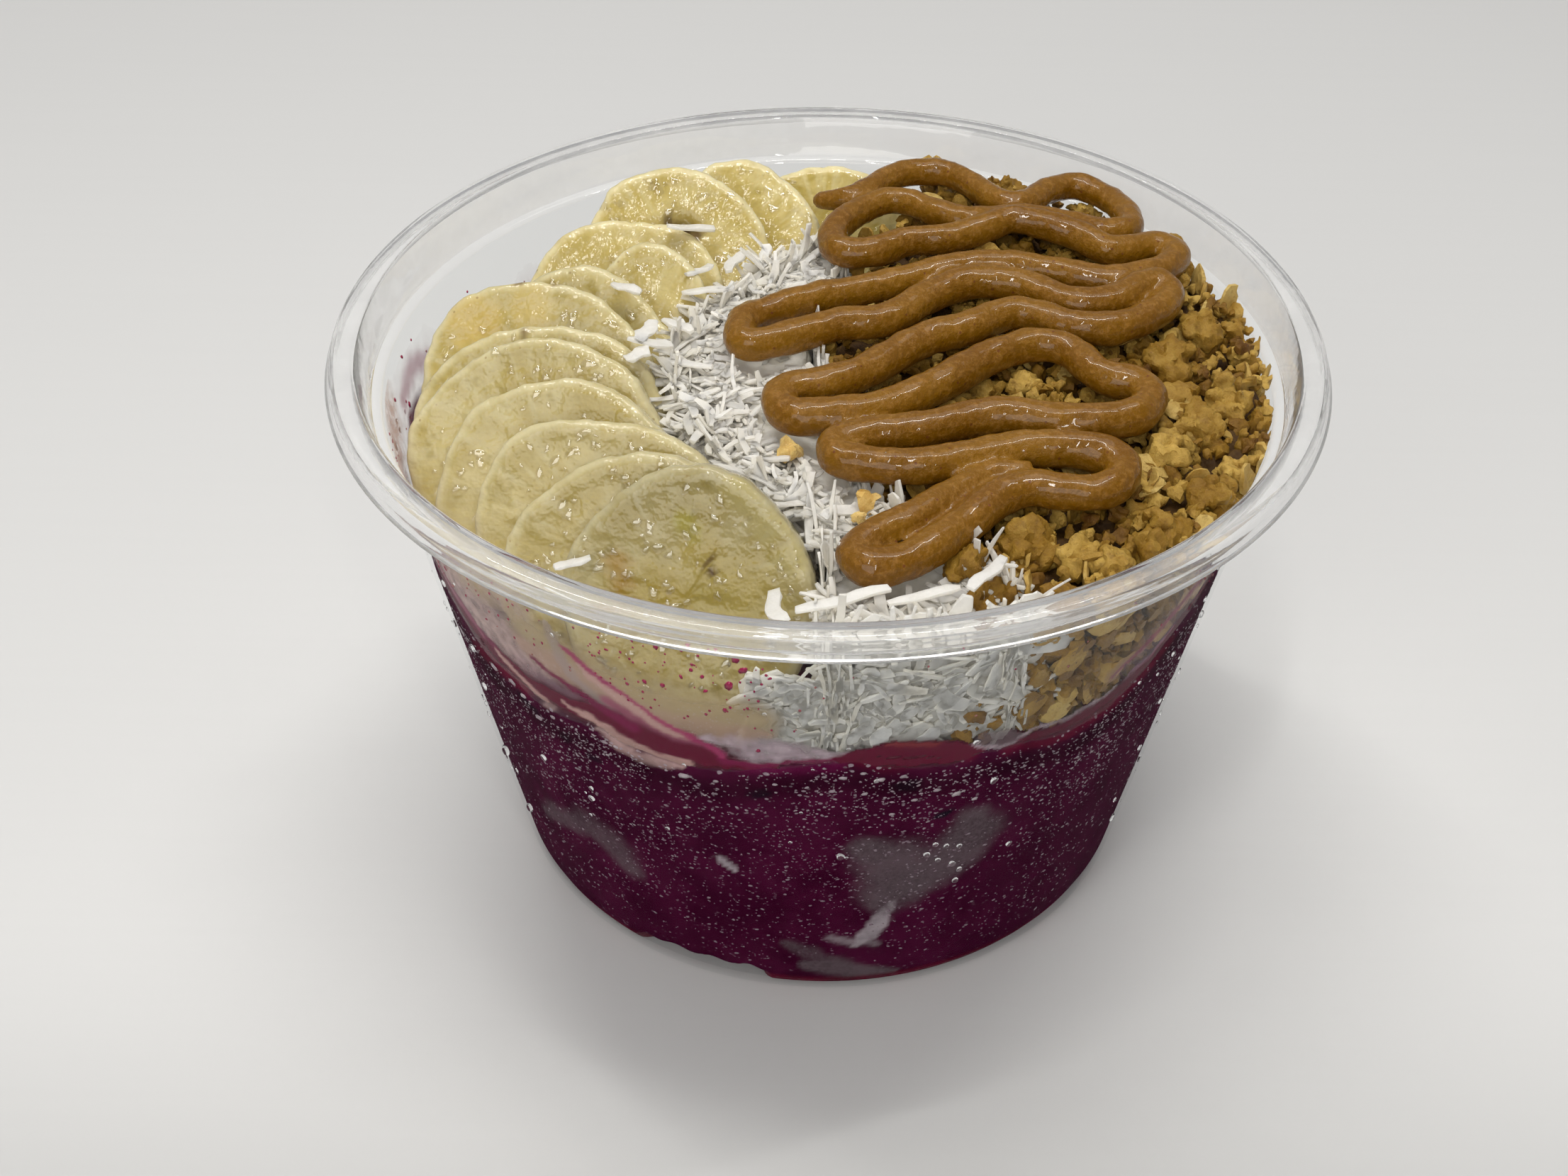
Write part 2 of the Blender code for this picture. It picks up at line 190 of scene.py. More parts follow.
def finishPiece(piece, nodes=(), material=None, angle=None):
    if material:
        piece.data.materials.clear()
        piece.data.materials.append(material)
    activate(piece)
    if angle is None:
        bpy.ops.object.shade_smooth()
    else:
        bpy.ops.object.shade_smooth_by_angle(angle=math.radians(angle))
    if nodes:
        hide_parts(*nodes)
    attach(piece, "root")
    print("made", piece.name, len(piece.data.polygons), "faces")


def paintPoints(piece, name, values):
    # a number or a colour for every vertex
    values = np.asarray(values, np.float32)
    if values.ndim == 1:
        layer = piece.data.attributes.new(name, "FLOAT", "POINT")
        layer.data.foreach_set("value", values)
    else:
        layer = piece.data.attributes.new(name, "FLOAT_COLOR", "POINT")
        layer.data.foreach_set("color", values.ravel())


def joinedMesh(name, parts, tones):
    # parts: (points, triangles) of each copy, with one tone for each
    starts = np.cumsum([0] + [len(points) for points, _ in parts])
    mesh = bpy.data.meshes.new(name)
    mesh.from_pydata(np.concatenate([points for points, _ in parts]).tolist(), [],
                     np.concatenate([faces + start for (_, faces), start in zip(parts, starts)]).tolist())
    mesh.update()
    piece = bpy.data.objects.new(name, mesh)
    bpy.context.collection.objects.link(piece)
    paintPoints(piece, "tone", np.repeat(np.asarray(tones, float), [len(points) for points, _ in parts]))
    return piece


class Wire:
    # one output socket of a material, with arithmetic
    def __init__(self, paint, socket):
        self.paint, self.socket = paint, socket

    def math(self, operation, *values):
        return self.paint.node("ShaderNodeMath", dict(enumerate(values)), operation=operation)

    def __add__(self, other):
        return self.math("ADD", self, other)

    def __sub__(self, other):
        return self.math("SUBTRACT", self, other)

    def __rsub__(self, other):
        return self.math("SUBTRACT", other, self)

    def __mul__(self, other):
        return self.math("MULTIPLY", self, other)

    def __truediv__(self, other):
        return self.math("DIVIDE", self, other)

    __radd__, __rmul__ = __add__, __mul__

    def power(self, other):
        return self.math("POWER", self, other)

    def highest(self, other):
        return self.math("MAXIMUM", self, other)

    def ramp(self, low, high, start=0.0, end=1.0):
        return self.paint.node("ShaderNodeMapRange", {"Value": self, "From Min": low, "From Max": high,
                                                      "To Min": start, "To Max": end},
                               interpolation_type="SMOOTHSTEP")


class Paint:
    # a material and what is wired in it
    def __init__(self, name):
        self.material = bpy.data.materials.new(name)
        self.material.use_nodes = True
        self.tree = self.material.node_tree
        self.tree.nodes.clear()

    def node(self, kind, values=None, output=0, stops=None, **settings):
        node = self.tree.nodes.new(kind)
        for key, value in settings.items():
            setattr(node, key, value)
        if stops:
            ramp = node.color_ramp
            while len(ramp.elements) < len(stops):
                ramp.elements.new(0.5)
            for element, (place, colour) in zip(ramp.elements, stops):
                element.position = place
                element.color = (*colour, 1)
        for key, value in (values or {}).items():
            if isinstance(value, Wire):
                self.tree.links.new(value.socket, node.inputs[key])
            elif isinstance(value, tuple) and len(value) == 3 and node.inputs[key].type == "RGBA":
                node.inputs[key].default_value = (*value, 1)
            else:
                node.inputs[key].default_value = value
        return Wire(self, node.outputs[output]) if node.outputs else None

    def place(self):
        return self.node("ShaderNodeTexCoord", output="Object")

    def scaled(self, where, scale):
        return self.node("ShaderNodeMapping", {"Vector": where, "Scale": scale})

    def noise(self, where, size, detail=2.0, rough=0.5, output=0):
        return self.node("ShaderNodeTexNoise", {"Vector": where, "Scale": 1 / (size * mm), "Detail": detail,
                                                "Roughness": rough}, output=output)

    def cells(self, where, size, feature="F1", randomness=1.0, output="Distance"):
        return self.node("ShaderNodeTexVoronoi", {"Vector": where, "Scale": 1 / (size * mm),
                                                  "Randomness": randomness}, output=output, feature=feature)

    def mix(self, share, first, second):
        return self.node("ShaderNodeMix", {0: share, 6: first, 7: second}, output=2, data_type="RGBA")

    def attribute(self, name, output="Fac"):
        return self.node("ShaderNodeAttribute", output=output, attribute_name=name)

    def bump(self, height, depth, strength=1.0, normal=None):
        values = {"Height": height, "Distance": depth * mm, "Strength": strength}
        if normal:
            values["Normal"] = normal
        return self.node("ShaderNodeBump", values)

    def principled(self, **values):
        return self.node("ShaderNodeBsdfPrincipled", {key.replace("_", " "): value for key, value in values.items()})

    def blend(self, share, first, second):
        return self.node("ShaderNodeMixShader", {0: share, 1: first, 2: second})

    def through(self, *colour):
        return self.node("ShaderNodeBsdfTransparent", {"Color": colour})

    def paleShadow(self, shader, *colour):
        # light passes straight through where only a shadow is asked for
        shadow = self.node("ShaderNodeLightPath", output="Is Shadow Ray")
        return self.blend(shadow, shader, self.through(*colour))

    def finish(self, shader):
        self.node("ShaderNodeOutputMaterial", {"Surface": shader})
        return self.material


# lens and sensor in mm, places in metres
cameraSet = {"place": (0.0, -0.255315, 0.227336), "lens": 58.59, "sensor": 36.0,
             "right": (0.99973, 0.02273, 0.00431), "up": (-0.01723, 0.60735, 0.79425)}

deselectAll()
bpy.ops.object.camera_add(location=cameraSet["place"])
camera = bpy.context.object
right, up = Vector(cameraSet["right"]).normalized(), Vector(cameraSet["up"]).normalized()
facing = Matrix((right, up, right.cross(up))).transposed().to_4x4()
camera.matrix_world = Matrix.Translation(cameraSet["place"]) @ facing
camera.data.lens = cameraSet["lens"]
camera.data.sensor_width = cameraSet["sensor"]
camera.data.clip_start = 0.01
bpy.context.scene.camera = camera

lightSet = {
    # name: (place, aimed at, size x, size y, power, colour)
    "ceiling": ((0.0, 0.22, 0.95), (0, 0, 0.05), 0.8, 0.6, 2.4, (1.0, 0.985, 0.95)),
    "tubeLeft": ((-0.15, 0.14, 0.62), (0, 0, 0.06), 0.018, 0.34, 0.85, (1.0, 0.98, 0.94)),
    "tubeRight": ((0.13, 0.05, 0.64), (0, 0, 0.06), 0.018, 0.34, 0.85, (1.0, 0.98, 0.94)),
    "front": ((-0.20, -0.76, 0.50), (0, 0, 0.04), 0.7, 0.5, 3.1, (1.0, 0.985, 0.96)),
    "glint": ((-0.10, -0.36, 0.70), (-0.02, 0, 0.06), 0.022, 0.24, 0.75, (1.0, 0.98, 0.95)),
    "glintLow": ((0.16, -0.60, 0.55), (-0.02, 0, 0.06), 0.02, 0.20, 0.40, (1.0, 0.98, 0.95)),
}
roomSet = {"front": (0.085, 0.085, 0.088), "back": (0.27, 0.27, 0.275)}


def makeLights():
    for name, (place, aim, sizeX, sizeY, power, colour) in lightSet.items():
        deselectAll()
        bpy.ops.object.light_add(type="AREA", location=place)
        lamp = bpy.context.object
        lamp.name = name
        lamp.data.shape = "RECTANGLE"
        lamp.data.size, lamp.data.size_y = sizeX, sizeY
        lamp.data.energy, lamp.data.color = power, colour
        lamp.rotation_euler = (Vector(aim) - Vector(place)).to_track_quat("-Z", "Y").to_euler()
    # the room is darker on the side of whoever looks at the bowl
    world = bpy.data.worlds.new("room")
    world.use_nodes = True
    tree = world.node_tree
    where = tree.nodes.new("ShaderNodeTexCoord")
    split = tree.nodes.new("ShaderNodeSeparateXYZ")
    share = tree.nodes.new("ShaderNodeMapRange")
    shade = tree.nodes.new("ShaderNodeMix")
    shade.data_type = "RGBA"
    share.inputs["From Min"].default_value, share.inputs["From Max"].default_value = -0.6, 0.25
    shade.inputs[6].default_value = (*roomSet["front"], 1)
    shade.inputs[7].default_value = (*roomSet["back"], 1)
    tree.links.new(where.outputs["Generated"], split.inputs[0])
    tree.links.new(split.outputs["Y"], share.inputs["Value"])
    tree.links.new(share.outputs[0], shade.inputs[0])
    tree.links.new(shade.outputs[2], tree.nodes["Background"].inputs["Color"])
    bpy.context.scene.world = world
    bpy.context.scene.view_settings.view_transform = "Standard"


# painted shade: the floor's colour grows darker towards the front edge, standing in for a shadow cast from the
# viewer's side
floorSet = {"size": 6.0, "colour": (0.74, 0.74, 0.735), "roughness": 0.36,
            "nearest": -120, "level": -25, "frontShadowColour": (0.44, 0.44, 0.435)}


def makeFloor():
    deselectAll()
    bpy.ops.mesh.primitive_plane_add(size=floorSet["size"], location=(0, 0, -0.0002))
    floor = bpy.context.object
    floor.name = "table"
    settle(floor)
    paint = Paint("pale table")
    where = paint.place()
    streak = paint.noise(paint.scaled(where, (0.03, 1.0, 1.0)), 2.2, 3.0)
    grain = paint.bump(streak, 0.05, 0.25)
    shade = paint.mix(streak, tuple(c * 0.985 for c in floorSet["colour"]), floorSet["colour"])
    near = paint.node("ShaderNodeSeparateXYZ", {0: where}, output="Y") / mm
    # painted shadow: the floor is darker towards the front
    shade = paint.mix(near.ramp(floorSet["nearest"], floorSet["level"]), floorSet["frontShadowColour"], shade)
    floor.data.materials.append(paint.finish(paint.principled(
        Base_Color=shade, Roughness=floorSet["roughness"], Normal=grain)))


makeLights()
makeFloor()
print("camera, floor and lights are set")


# sizes in mm; the profile runs from the middle of the inside to the middle of the underside
tubSet = {
    "segments": 216,
    "wall": 0.7,
    "floor": 2.5, "floorRadius": 39.3,      # outside of the wall at its foot
    "step": 64.2, "stepRadius": 52.9,       # and at the stacking step
    # how much each face mirrors straight on and edge on, and how cloudy it is
    "outside": (0.003, 0.03, 0.001), "inside": (0.005, 0.13, 0.010),
    "profile": [
        (0, 0.7), (20, 0.7), (36.9, 0.7), (37.7, 0.95), (38.25, 1.5), (38.6, 2.5), (40.6, 11.6), (44.0, 27.2),
        (48.1, 45.7), (52.2, 64.2), (52.45, 64.5), (52.9, 64.68), (53.35, 64.8), (53.6, 65.2), (54.0, 66.8),
        (54.75, 69.5), (54.95, 69.85), (55.3, 70.0), (56.9, 70.0), (57.5, 69.86), (57.9, 69.4), (58.02, 68.6),
        (58.15, 68.0), (58.42, 67.75), (58.5, 67.5), (58.45, 67.27), (58.2, 67.2), (57.7, 67.3), (57.45, 67.7),
        (57.35, 68.7), (57.15, 69.15), (56.7, 69.3), (55.7, 69.3), (55.35, 69.1), (54.65, 66.7), (54.2, 64.9),
        (53.95, 64.25), (53.5, 64.02), (53.1, 63.95), (52.85, 63.6), (48.8, 45.7), (44.7, 27.2), (41.3, 11.6),
        (39.3, 2.5), (39.05, 1.4), (38.5, 0.55), (37.6, 0.08), (36.9, 0), (20, 0), (0, 0)],
}


def innerRadius(height):
    share = (height - tubSet["floor"]) / (tubSet["step"] - tubSet["floor"])
    return tubSet["floorRadius"] + (tubSet["stepRadius"] - tubSet["floorRadius"]) * share - tubSet["wall"]


def clearRim():
    paint = Paint("clear rim")
    where = paint.place()
    cloudy = paint.noise(where, 9.0, 4.0, 0.6).ramp(0.35, 0.75, 0.07, 0.15)
    ripple = paint.bump(paint.noise(where, 5.0, 2.0), 0.12, 0.5)
    clear = paint.principled(Base_Color=(1.0, 1.0, 1.0), Roughness=0.035, IOR=1.5, Transmission_Weight=1.0,
                             Normal=ripple)
    milky = paint.principled(Base_Color=(0.80, 0.80, 0.79), Roughness=0.35, Normal=ripple)
    return paint.finish(paint.paleShadow(paint.blend(cloudy, clear, milky), 0.96, 0.965, 0.965))


def clearWall(name, least, edgeOn, cloud):
    # a thin clear sheet
    paint = Paint(name)
    where = paint.place()
    cloudy = paint.noise(where, 9.0, 4.0, 0.6).ramp(0.35, 0.75, 0.4 * cloud, cloud)
    scuff = paint.noise(paint.scaled(where, (1.0, 1.0, 0.35)), 0.55, 3.0, 0.7).ramp(0.62, 0.78)
    ripple = paint.bump(paint.noise(where, 5.0, 2.0), 0.12, 0.5)
    facing = paint.node("ShaderNodeLayerWeight", {"Blend": 0.5}, output="Facing")
    gloss = paint.node("ShaderNodeBsdfGlossy", {"Color": (0.95, 0.95, 0.95), "Roughness": 0.07, "Normal": ripple})
    sheet = paint.blend(facing.power(3.0) * edgeOn + least, paint.through(0.975, 0.98, 0.98), gloss)
    milky = paint.principled(Base_Color=(0.80, 0.80, 0.79), Roughness=0.4, Normal=ripple)
    return paint.finish(paint.blend(cloudy + scuff * cloud, sheet, milky))


def makeTub():
    tub = turnedShell("tub", tubSet["profile"], tubSet["segments"])
    tub.data.materials.append(clearRim())
    for side in ("outside", "inside"):
        tub.data.materials.append(clearWall("clear wall " + side, *tubSet[side]))
    for face in tub.data.polygons:
        place = face.center
        outside = face.normal.x * place.x + face.normal.y * place.y > 0 or face.normal.z < -0.5
        face.material_index = 0 if place.z > tubSet["step"] * mm else 1 if outside else 2
    finishPiece(tub, ["bowl"], None, 40)


makeTub()


# places on the wall are (compass angle, height): the angle is 0 at the front and grows to the right
acaiSet = {
    "segments": 480, "wallRows": 74, "topShares": [0.25, 0.5, 0.72, 0.84, 0.92, 0.97],
    "sink": 0.22, "shade": 0.60, "middle": 44.4, "tilt": 0.07, "front": 37.4,
    "foot": [(38.35, 1.75), (37.6, 0.62), (20.0, 0.62), (0, 0.62)],     # radius, height
    "beltDepth": 3.4, "beltShare": 0.6, "farFrom": 65, "farCut": -90,
    "shore": [(-180, 50.5), (-150, 51.2), (-120, 49.8), (-90, 48.6), (-72, 47.2), (-60, 44.6), (-55, 43.0),
              (-49, 43.6), (-44, 41.9), (-38, 42.3), (-31, 42.6), (-25, 42.2), (-20, 41.7), (-15, 42.0),
              (-11, 42.2), (-7.5, 43.4), (-5, 43.9), (-1.6, 44.7), (4, 45.3), (9.6, 43.6), (17, 42.6), (21.7, 43.9),
              (27.6, 43.4), (35, 42.0), (43, 42.6), (48, 44.4), (54, 48.2), (68, 50.2), (90, 51.3), (120, 50.0),
              (150, 51.4), (180, 50.5)],
}


def shoreLevel(angle):
    angles, heights = zip(*acaiSet["shore"])
    base = np.interp(angle, angles, heights)
    ripple = [0.35 * noise.noise(Vector((a * 0.17, 3.1, 0.5))) + 0.25 * noise.noise(Vector((a * 0.55, 7.1, 0.5)))
              for a in np.atleast_1d(angle)]
    return base + np.asarray(ripple) * softStep(180, 170, np.abs(angle))


def compassOf(points):
    return np.degrees(np.arctan2(points[:, 0], -points[:, 1]))


def strokeMask(angles, heights, route, soft=0.5):
    # how much of each wall place is under a stroke: (angle, height, half width) points
    best = np.full(len(angles), 9.0)
    for (a0, z0, w0), (a1, z1, w1) in zip(route, route[1:]):
        degree = math.pi / 180 * innerRadius((z0 + z1) / 2)
        x, z = (angles - a0) * degree, heights - z0
        dx, dz = (a1 - a0) * degree, z1 - z0
        along = np.clip((x * dx + z * dz) / (dx * dx + dz * dz + 1e-9), 0, 1)
        away = np.hypot(x - along * dx, z - along * dz)
        best = np.minimum(best, away / (w0 + (w1 - w0) * along))
    return 1 - softStep(1 - soft, 1 + soft, best)


acaiColours = {"body": (0.068, 0.0015, 0.027), "deep": (0.022, 0.0008, 0.008), "crimson": (0.150, 0.003, 0.026),
               "bright": (0.17, 0.004, 0.065), "frost": (0.125, 0.088, 0.102), "pale": (0.42, 0.36, 0.39),
               "cream": (0.58, 0.38, 0.36), "berry": (0.008, 0.006, 0.014)}

acaiStrokes = [
    # colour, strength, softness, route
    ("cream", 0.85, 0.4, [(-35, 44.4, 0.3), (-32.5, 43.9, 0.6), (-27.4, 41.9, 0.9), (-22.2, 41.2, 0.8),
                          (-18, 41.4, 0.4)]),
    ("cream", 0.8, 0.4, [(-48, 45.0, 0.4), (-44, 43.2, 0.6), (-40.1, 42.4, 0.5)]),
    ("frost", 0.85, 0.6, [(7.5, 29, 2.0), (11, 26, 3.6), (12, 20.5, 3.8), (10.5, 18, 2.0)]),
    ("frost", 0.85, 0.6, [(13, 20.5, 2.4), (17, 22.5, 3.0), (21, 25.5, 3.3), (23, 29, 3.2), (22.5, 31.5, 2.2)]),
    ("frost", 0.55, 0.7, [(-52, 17, 1.2), (-45, 20, 1.6), (-39, 22.5, 2.0), (-34.5, 20.5, 2.8), (-32, 16.5, 1.6)]),
    ("pale", 0.9, 0.2, [(6.5, 9.5, 0.4), (8.5, 11.5, 1.2), (10.5, 15.0, 1.1), (12.2, 17.6, 0.4)]),
    ("pale", 0.55, 0.5, [(2, 11.5, 0.4), (6, 10.5, 0.9), (10, 9.5, 0.5)]),
    ("frost", 0.9, 0.5, [(-2, 5.5, 0.8), (3, 5.0, 1.6), (9, 3.6, 1.4), (14, 2.6, 0.6)]),
    ("frost", 0.5, 0.6, [(-5, 10, 0.5), (-1, 8.0, 1.2), (3, 6.5, 0.8)]),
    ("pale", 1.0, 0.25, [(-14.6, 25.4, 0.35), (-13.6, 24.5, 0.6), (-12.6, 23.6, 0.45)]),
    ("crimson", 0.99, 0.5, [(3, 45.5, 0.8), (8, 45.6, 1.8), (14, 45.2, 2.0), (20, 44.0, 0.8)]),
    ("bright", 0.8, 0.7, [(-12, 42.8, 0.5), (-8, 43.4, 0.9), (-3, 44.2, 1.0), (2, 44.6, 0.9)]),
    ("crimson", 0.8, 0.6, [(-58, 42.5, 0.8), (-50, 43.2, 1.3), (-45, 42.5, 0.9)]),
    ("crimson", 0.7, 0.6, [(26, 43.3, 0.7), (34, 41.6, 0.9), (44, 42.6, 0.8), (54, 47.4, 0.7)]),
    ("berry", 1.0, 0.35, [(11.2, 40.4, 1.2), (12.8, 40.6, 1.1)]),
    ("berry", 0.95, 0.35, [(17.2, 34.1, 0.7), (18.2, 34.4, 0.6)]),
    ("berry", 0.9, 0.4, [(-8.4, 38.8, 0.7), (-7.2, 39.4, 0.7)]),
    ("berry", 0.85, 0.5, [(-45.8, 40.8, 0.9), (-44.2, 40.0, 0.8)]),
    ("berry", 0.85, 0.5, [(-38.8, 38.2, 0.8), (-37.6, 38.8, 0.7)]),
    ("berry", 0.7, 0.5, [(-34.0, 36.6, 0.7), (-33.0, 37.0, 0.6)]),
]


def backStrokes(dice):
    # the far side is marked in the same ways
    strokes = []
    for _ in range(7):
        angle, level = dice.uniform(70, 290), dice.uniform(8, 34)
        route = [(angle, level, dice.uniform(1, 2.5))]
        for _ in range(3):
            angle, level = angle + dice.uniform(1, 5), level + dice.uniform(-3, 3)
            route.append((angle, level, dice.uniform(1.2, 3.6)))
        strokes.append(("frost", dice.uniform(0.4, 0.8), 0.6, route))
    for _ in range(6):
        angle, level = dice.uniform(70, 290), dice.uniform(10, 44)
        size = dice.uniform(0.5, 1.1)
        strokes.append(("berry", 0.9, 0.4, [(angle, level, size), (angle + 1.2, level + 0.4, size)]))
    for _ in range(5):
        angle = dice.uniform(80, 270)
        strokes.append(("crimson", 0.8, 0.6, [(angle, 49.2, 0.8), (angle + 8, 49.6, 1.2), (angle + 14, 49.2, 0.7)]))
    return strokes


def strokeShare(angles, heights, stroke, kind):
    # a stroke on the far side counts its angles on past 180
    _, strength, soft, route = stroke
    side = np.where(angles < kind["farCut"], angles + 360, angles) if route[0][0] > kind["farFrom"] else angles
    return strength * strokeMask(side, heights, route, soft)


def acaiMaterial():
    paint = Paint("acai")
    where = paint.place()
    height = paint.node("ShaderNodeSeparateXYZ", {0: where}, output="Z") / mm
    base = paint.attribute("wallColour", "Color")
    frosty = paint.attribute("frost")
    clouds = paint.noise(where, 7.0, 5.0, 0.65)
    tone = paint.mix(clouds.ramp(0.35, 0.7), base, paint.node(
        "ShaderNodeHueSaturation", {"Color": base, "Value": 1.75, "Saturation": 0.96}))
    upper = height.ramp(24, 41)
    flat = paint.scaled(where, (1.0, 1.0, 1.5))
    # frost flecks: each cell has its own size, and they are larger near the top
    fine = paint.cells(flat, 0.74)
    fineSize = paint.noise(where, 0.9, 1.0).ramp(0.40, 0.66)
    flecks = (fineSize * 0.34 - fine).ramp(0.0, 0.06)
    coarse = paint.cells(flat, 1.3)
    coarseSize = paint.noise(where, 2.0, 1.0).ramp(0.44, 0.68)
    blots = (coarseSize * (upper * 0.20 + 0.10) - coarse).ramp(0.0, 0.05)
    band = paint.noise(where, 4.5, 3.0).ramp(0.38, 0.62)
    amount = (flecks * (band * 0.5 + 0.35) * (upper * 0.2 + 0.7)).highest(blots * (upper * 0.7 + 0.1))
    fleck = paint.mix(upper, (0.25, 0.15, 0.205), (0.40, 0.33, 0.37))
    wall = paint.attribute("onWall")
    dusted = paint.mix(amount * wall, tone, fleck)
    velvet = paint.noise(where, 0.45, 3.0, 0.75)
    shade = paint.mix(frosty * velvet.ramp(0.40, 0.60, 0.15, 1.0), dusted, acaiColours["frost"])
    relief = paint.bump(velvet, 0.12, 0.6)
    return paint.finish(paint.principled(Base_Color=shade, Roughness=0.42 + velvet * 0.2, Normal=relief,
                                         Specular_IOR_Level=0.0))


def makeAcai():
    # rows: the top, the wall and the foot
    topShares, wallRows, foot = acaiSet["topShares"], acaiSet["wallRows"], acaiSet["foot"]
    rings = len(topShares) + wallRows + len(foot)
    piece = turnedShell("acaiFilling", [(0, 0)] + [(10, k) for k in range(1, rings)] + [(0, rings)],
                        acaiSet["segments"])
    points = corners(piece)
    row = np.rint(points[:, 2] / mm).astype(int)
    angle = compassOf(points)
    shore = shoreLevel(angle)
    x, y = np.sin(np.radians(angle)), -np.cos(np.radians(angle))
    radius, height = np.zeros(len(points)), np.zeros(len(points))
    core = acaiSet["middle"] + acaiSet["tilt"] * (y * 40 + acaiSet["front"])
    edge = innerRadius(shore) + acaiSet["sink"]
    # the filling doesn't reach into the corner of the base at the front left
    bare = softStep(-36, -30, angle) * (1 - softStep(-12, -8, angle))
    bare *= 0.75 + 0.25 * np.sin(angle * 0.9)
    for index in range(len(points)):
        k = row[index]
        if k == 0:
            radius[index], height[index] = 0, acaiSet["middle"] + acaiSet["tilt"] * acaiSet["front"]
        elif k <= len(topShares):
            share = topShares[k - 1]
            blend = max(0.0, (share - 0.86) / 0.14) ** 2
            radius[index] = (edge[index] - 0.5) * share
            height[index] = core[index] + (shore[index] - core[index]) * blend
        elif k <= len(topShares) + wallRows:
            share = (k - len(topShares) - 1) / (wallRows - 1)
            level = shore[index] - 0.02 + (3.0 + 1.1 * bare[index] - shore[index]) * share
            rounding = 0.35 * max(0.0, 1 - share * 40)
            radius[index] = innerRadius(level) + acaiSet["sink"] - rounding
            height[index] = level
        else:
            last = k - len(topShares) - wallRows - 1
            radius[index], height[index] = foot[last]
            if last < 2:
                radius[index] -= 2.6 * bare[index]
            if last == 0:
                height[index] += 0.5 * bare[index]
    points[:, 0], points[:, 1], points[:, 2] = radius * x * mm, radius * y * mm, height * mm
    setCorners(piece, points)
    onWall = ((row > len(topShares)) & (row <= len(topShares) + wallRows)).astype(float)
    dice = random.Random(5)
    strokes = acaiStrokes + backStrokes(dice)
    # strokes are bent a little, so no edge is a clean curve
    shift = np.array([(wobble(p, 6, 1.3), wobble(p, 6, 8.1), wobble(p, 2, 3.3), wobble(p, 2, 5.5)) for p in points])
    places = angle + 1.1 * shift[:, 0] + 0.7 * shift[:, 2], height + 0.9 * shift[:, 1] + 0.55 * shift[:, 3]
    colours = np.repeat(np.array([acaiColours["body"]]), len(points), axis=0)
    frost = np.zeros(len(points))
    for stroke in strokes:
        share = strokeShare(*places, stroke, acaiSet)
        colours = colours * (1 - share[:, None]) + np.array(acaiColours[stroke[0]]) * share[:, None]
        if stroke[0] == "frost":
            frost = np.maximum(frost, share)
    # a dark belt under the top edge
    dark = softStep(3.0, 0.4, np.abs(height - shore + acaiSet["beltDepth"]))[:, None] * acaiSet["beltShare"]
    colours = (colours * (1 - dark) + np.array(acaiColours["deep"]) * dark) * acaiSet["shade"]
    colours = np.where(onWall[:, None] > 0, colours, np.array(acaiColours["crimson"]) * 0.6)
    paintPoints(piece, "wallColour", np.hstack([colours, np.ones((len(points), 1))]))
    paintPoints(piece, "frost", frost)
    paintPoints(piece, "onWall", onWall)
    faceOutward(piece)
    finishPiece(piece, ["acai"], acaiMaterial(), 50)


makeAcai()


# smears, spatter, bubbles and drops follow the wall's slope
wallLean = math.atan2(tubSet["stepRadius"] - tubSet["floorRadius"], tubSet["step"] - tubSet["floor"])


def wallPlace(angle, height, outside):
    # a point that far outside the inner face, with the wall's own axes: across, up and outwards
    a = math.radians(angle)
    across = np.array((math.cos(a), math.sin(a), 0.0))
    rise = np.array((math.sin(wallLean) * math.sin(a), -math.sin(wallLean) * math.cos(a), math.cos(wallLean)))
    outward = np.array((math.cos(wallLean) * math.sin(a), -math.cos(wallLean) * math.cos(a), -math.sin(wallLean)))
    radius = innerRadius(height)
    spot = np.array((radius * math.sin(a), -radius * math.cos(a), height)) + outward * outside
    return spot * mm, np.stack([across, rise, outward], axis=1)


filmSet = {"step": 0.38, "low": 40.5, "high": 63.4, "inside": 0.05, "thick": 0.03, "faintest": 0.03,
           "farFrom": 100, "farCut": -120, "uneven": ("tint", "haze", "foam", "wash")}

filmColours = {
    "tint": (0.62, 0.42, 0.42), "haze": (0.34, 0.18, 0.24), "crimson": (0.128, 0.0006, 0.024),
    "magenta": (0.21, 0.004, 0.062), "arc": (0.40, 0.04, 0.14), "cream": (0.62, 0.38, 0.34),
    "blush": (0.40, 0.10, 0.18), "drip": (0.42, 0.33, 0.32), "foam": (0.56, 0.44, 0.49),
    "wash": (0.72, 0.53, 0.49), "pulp": (0.55, 0.36, 0.28), "flesh": (0.58, 0.45, 0.27),
    "orange": (0.34, 0.06, 0.05), "grey": (0.24, 0.17, 0.19)}

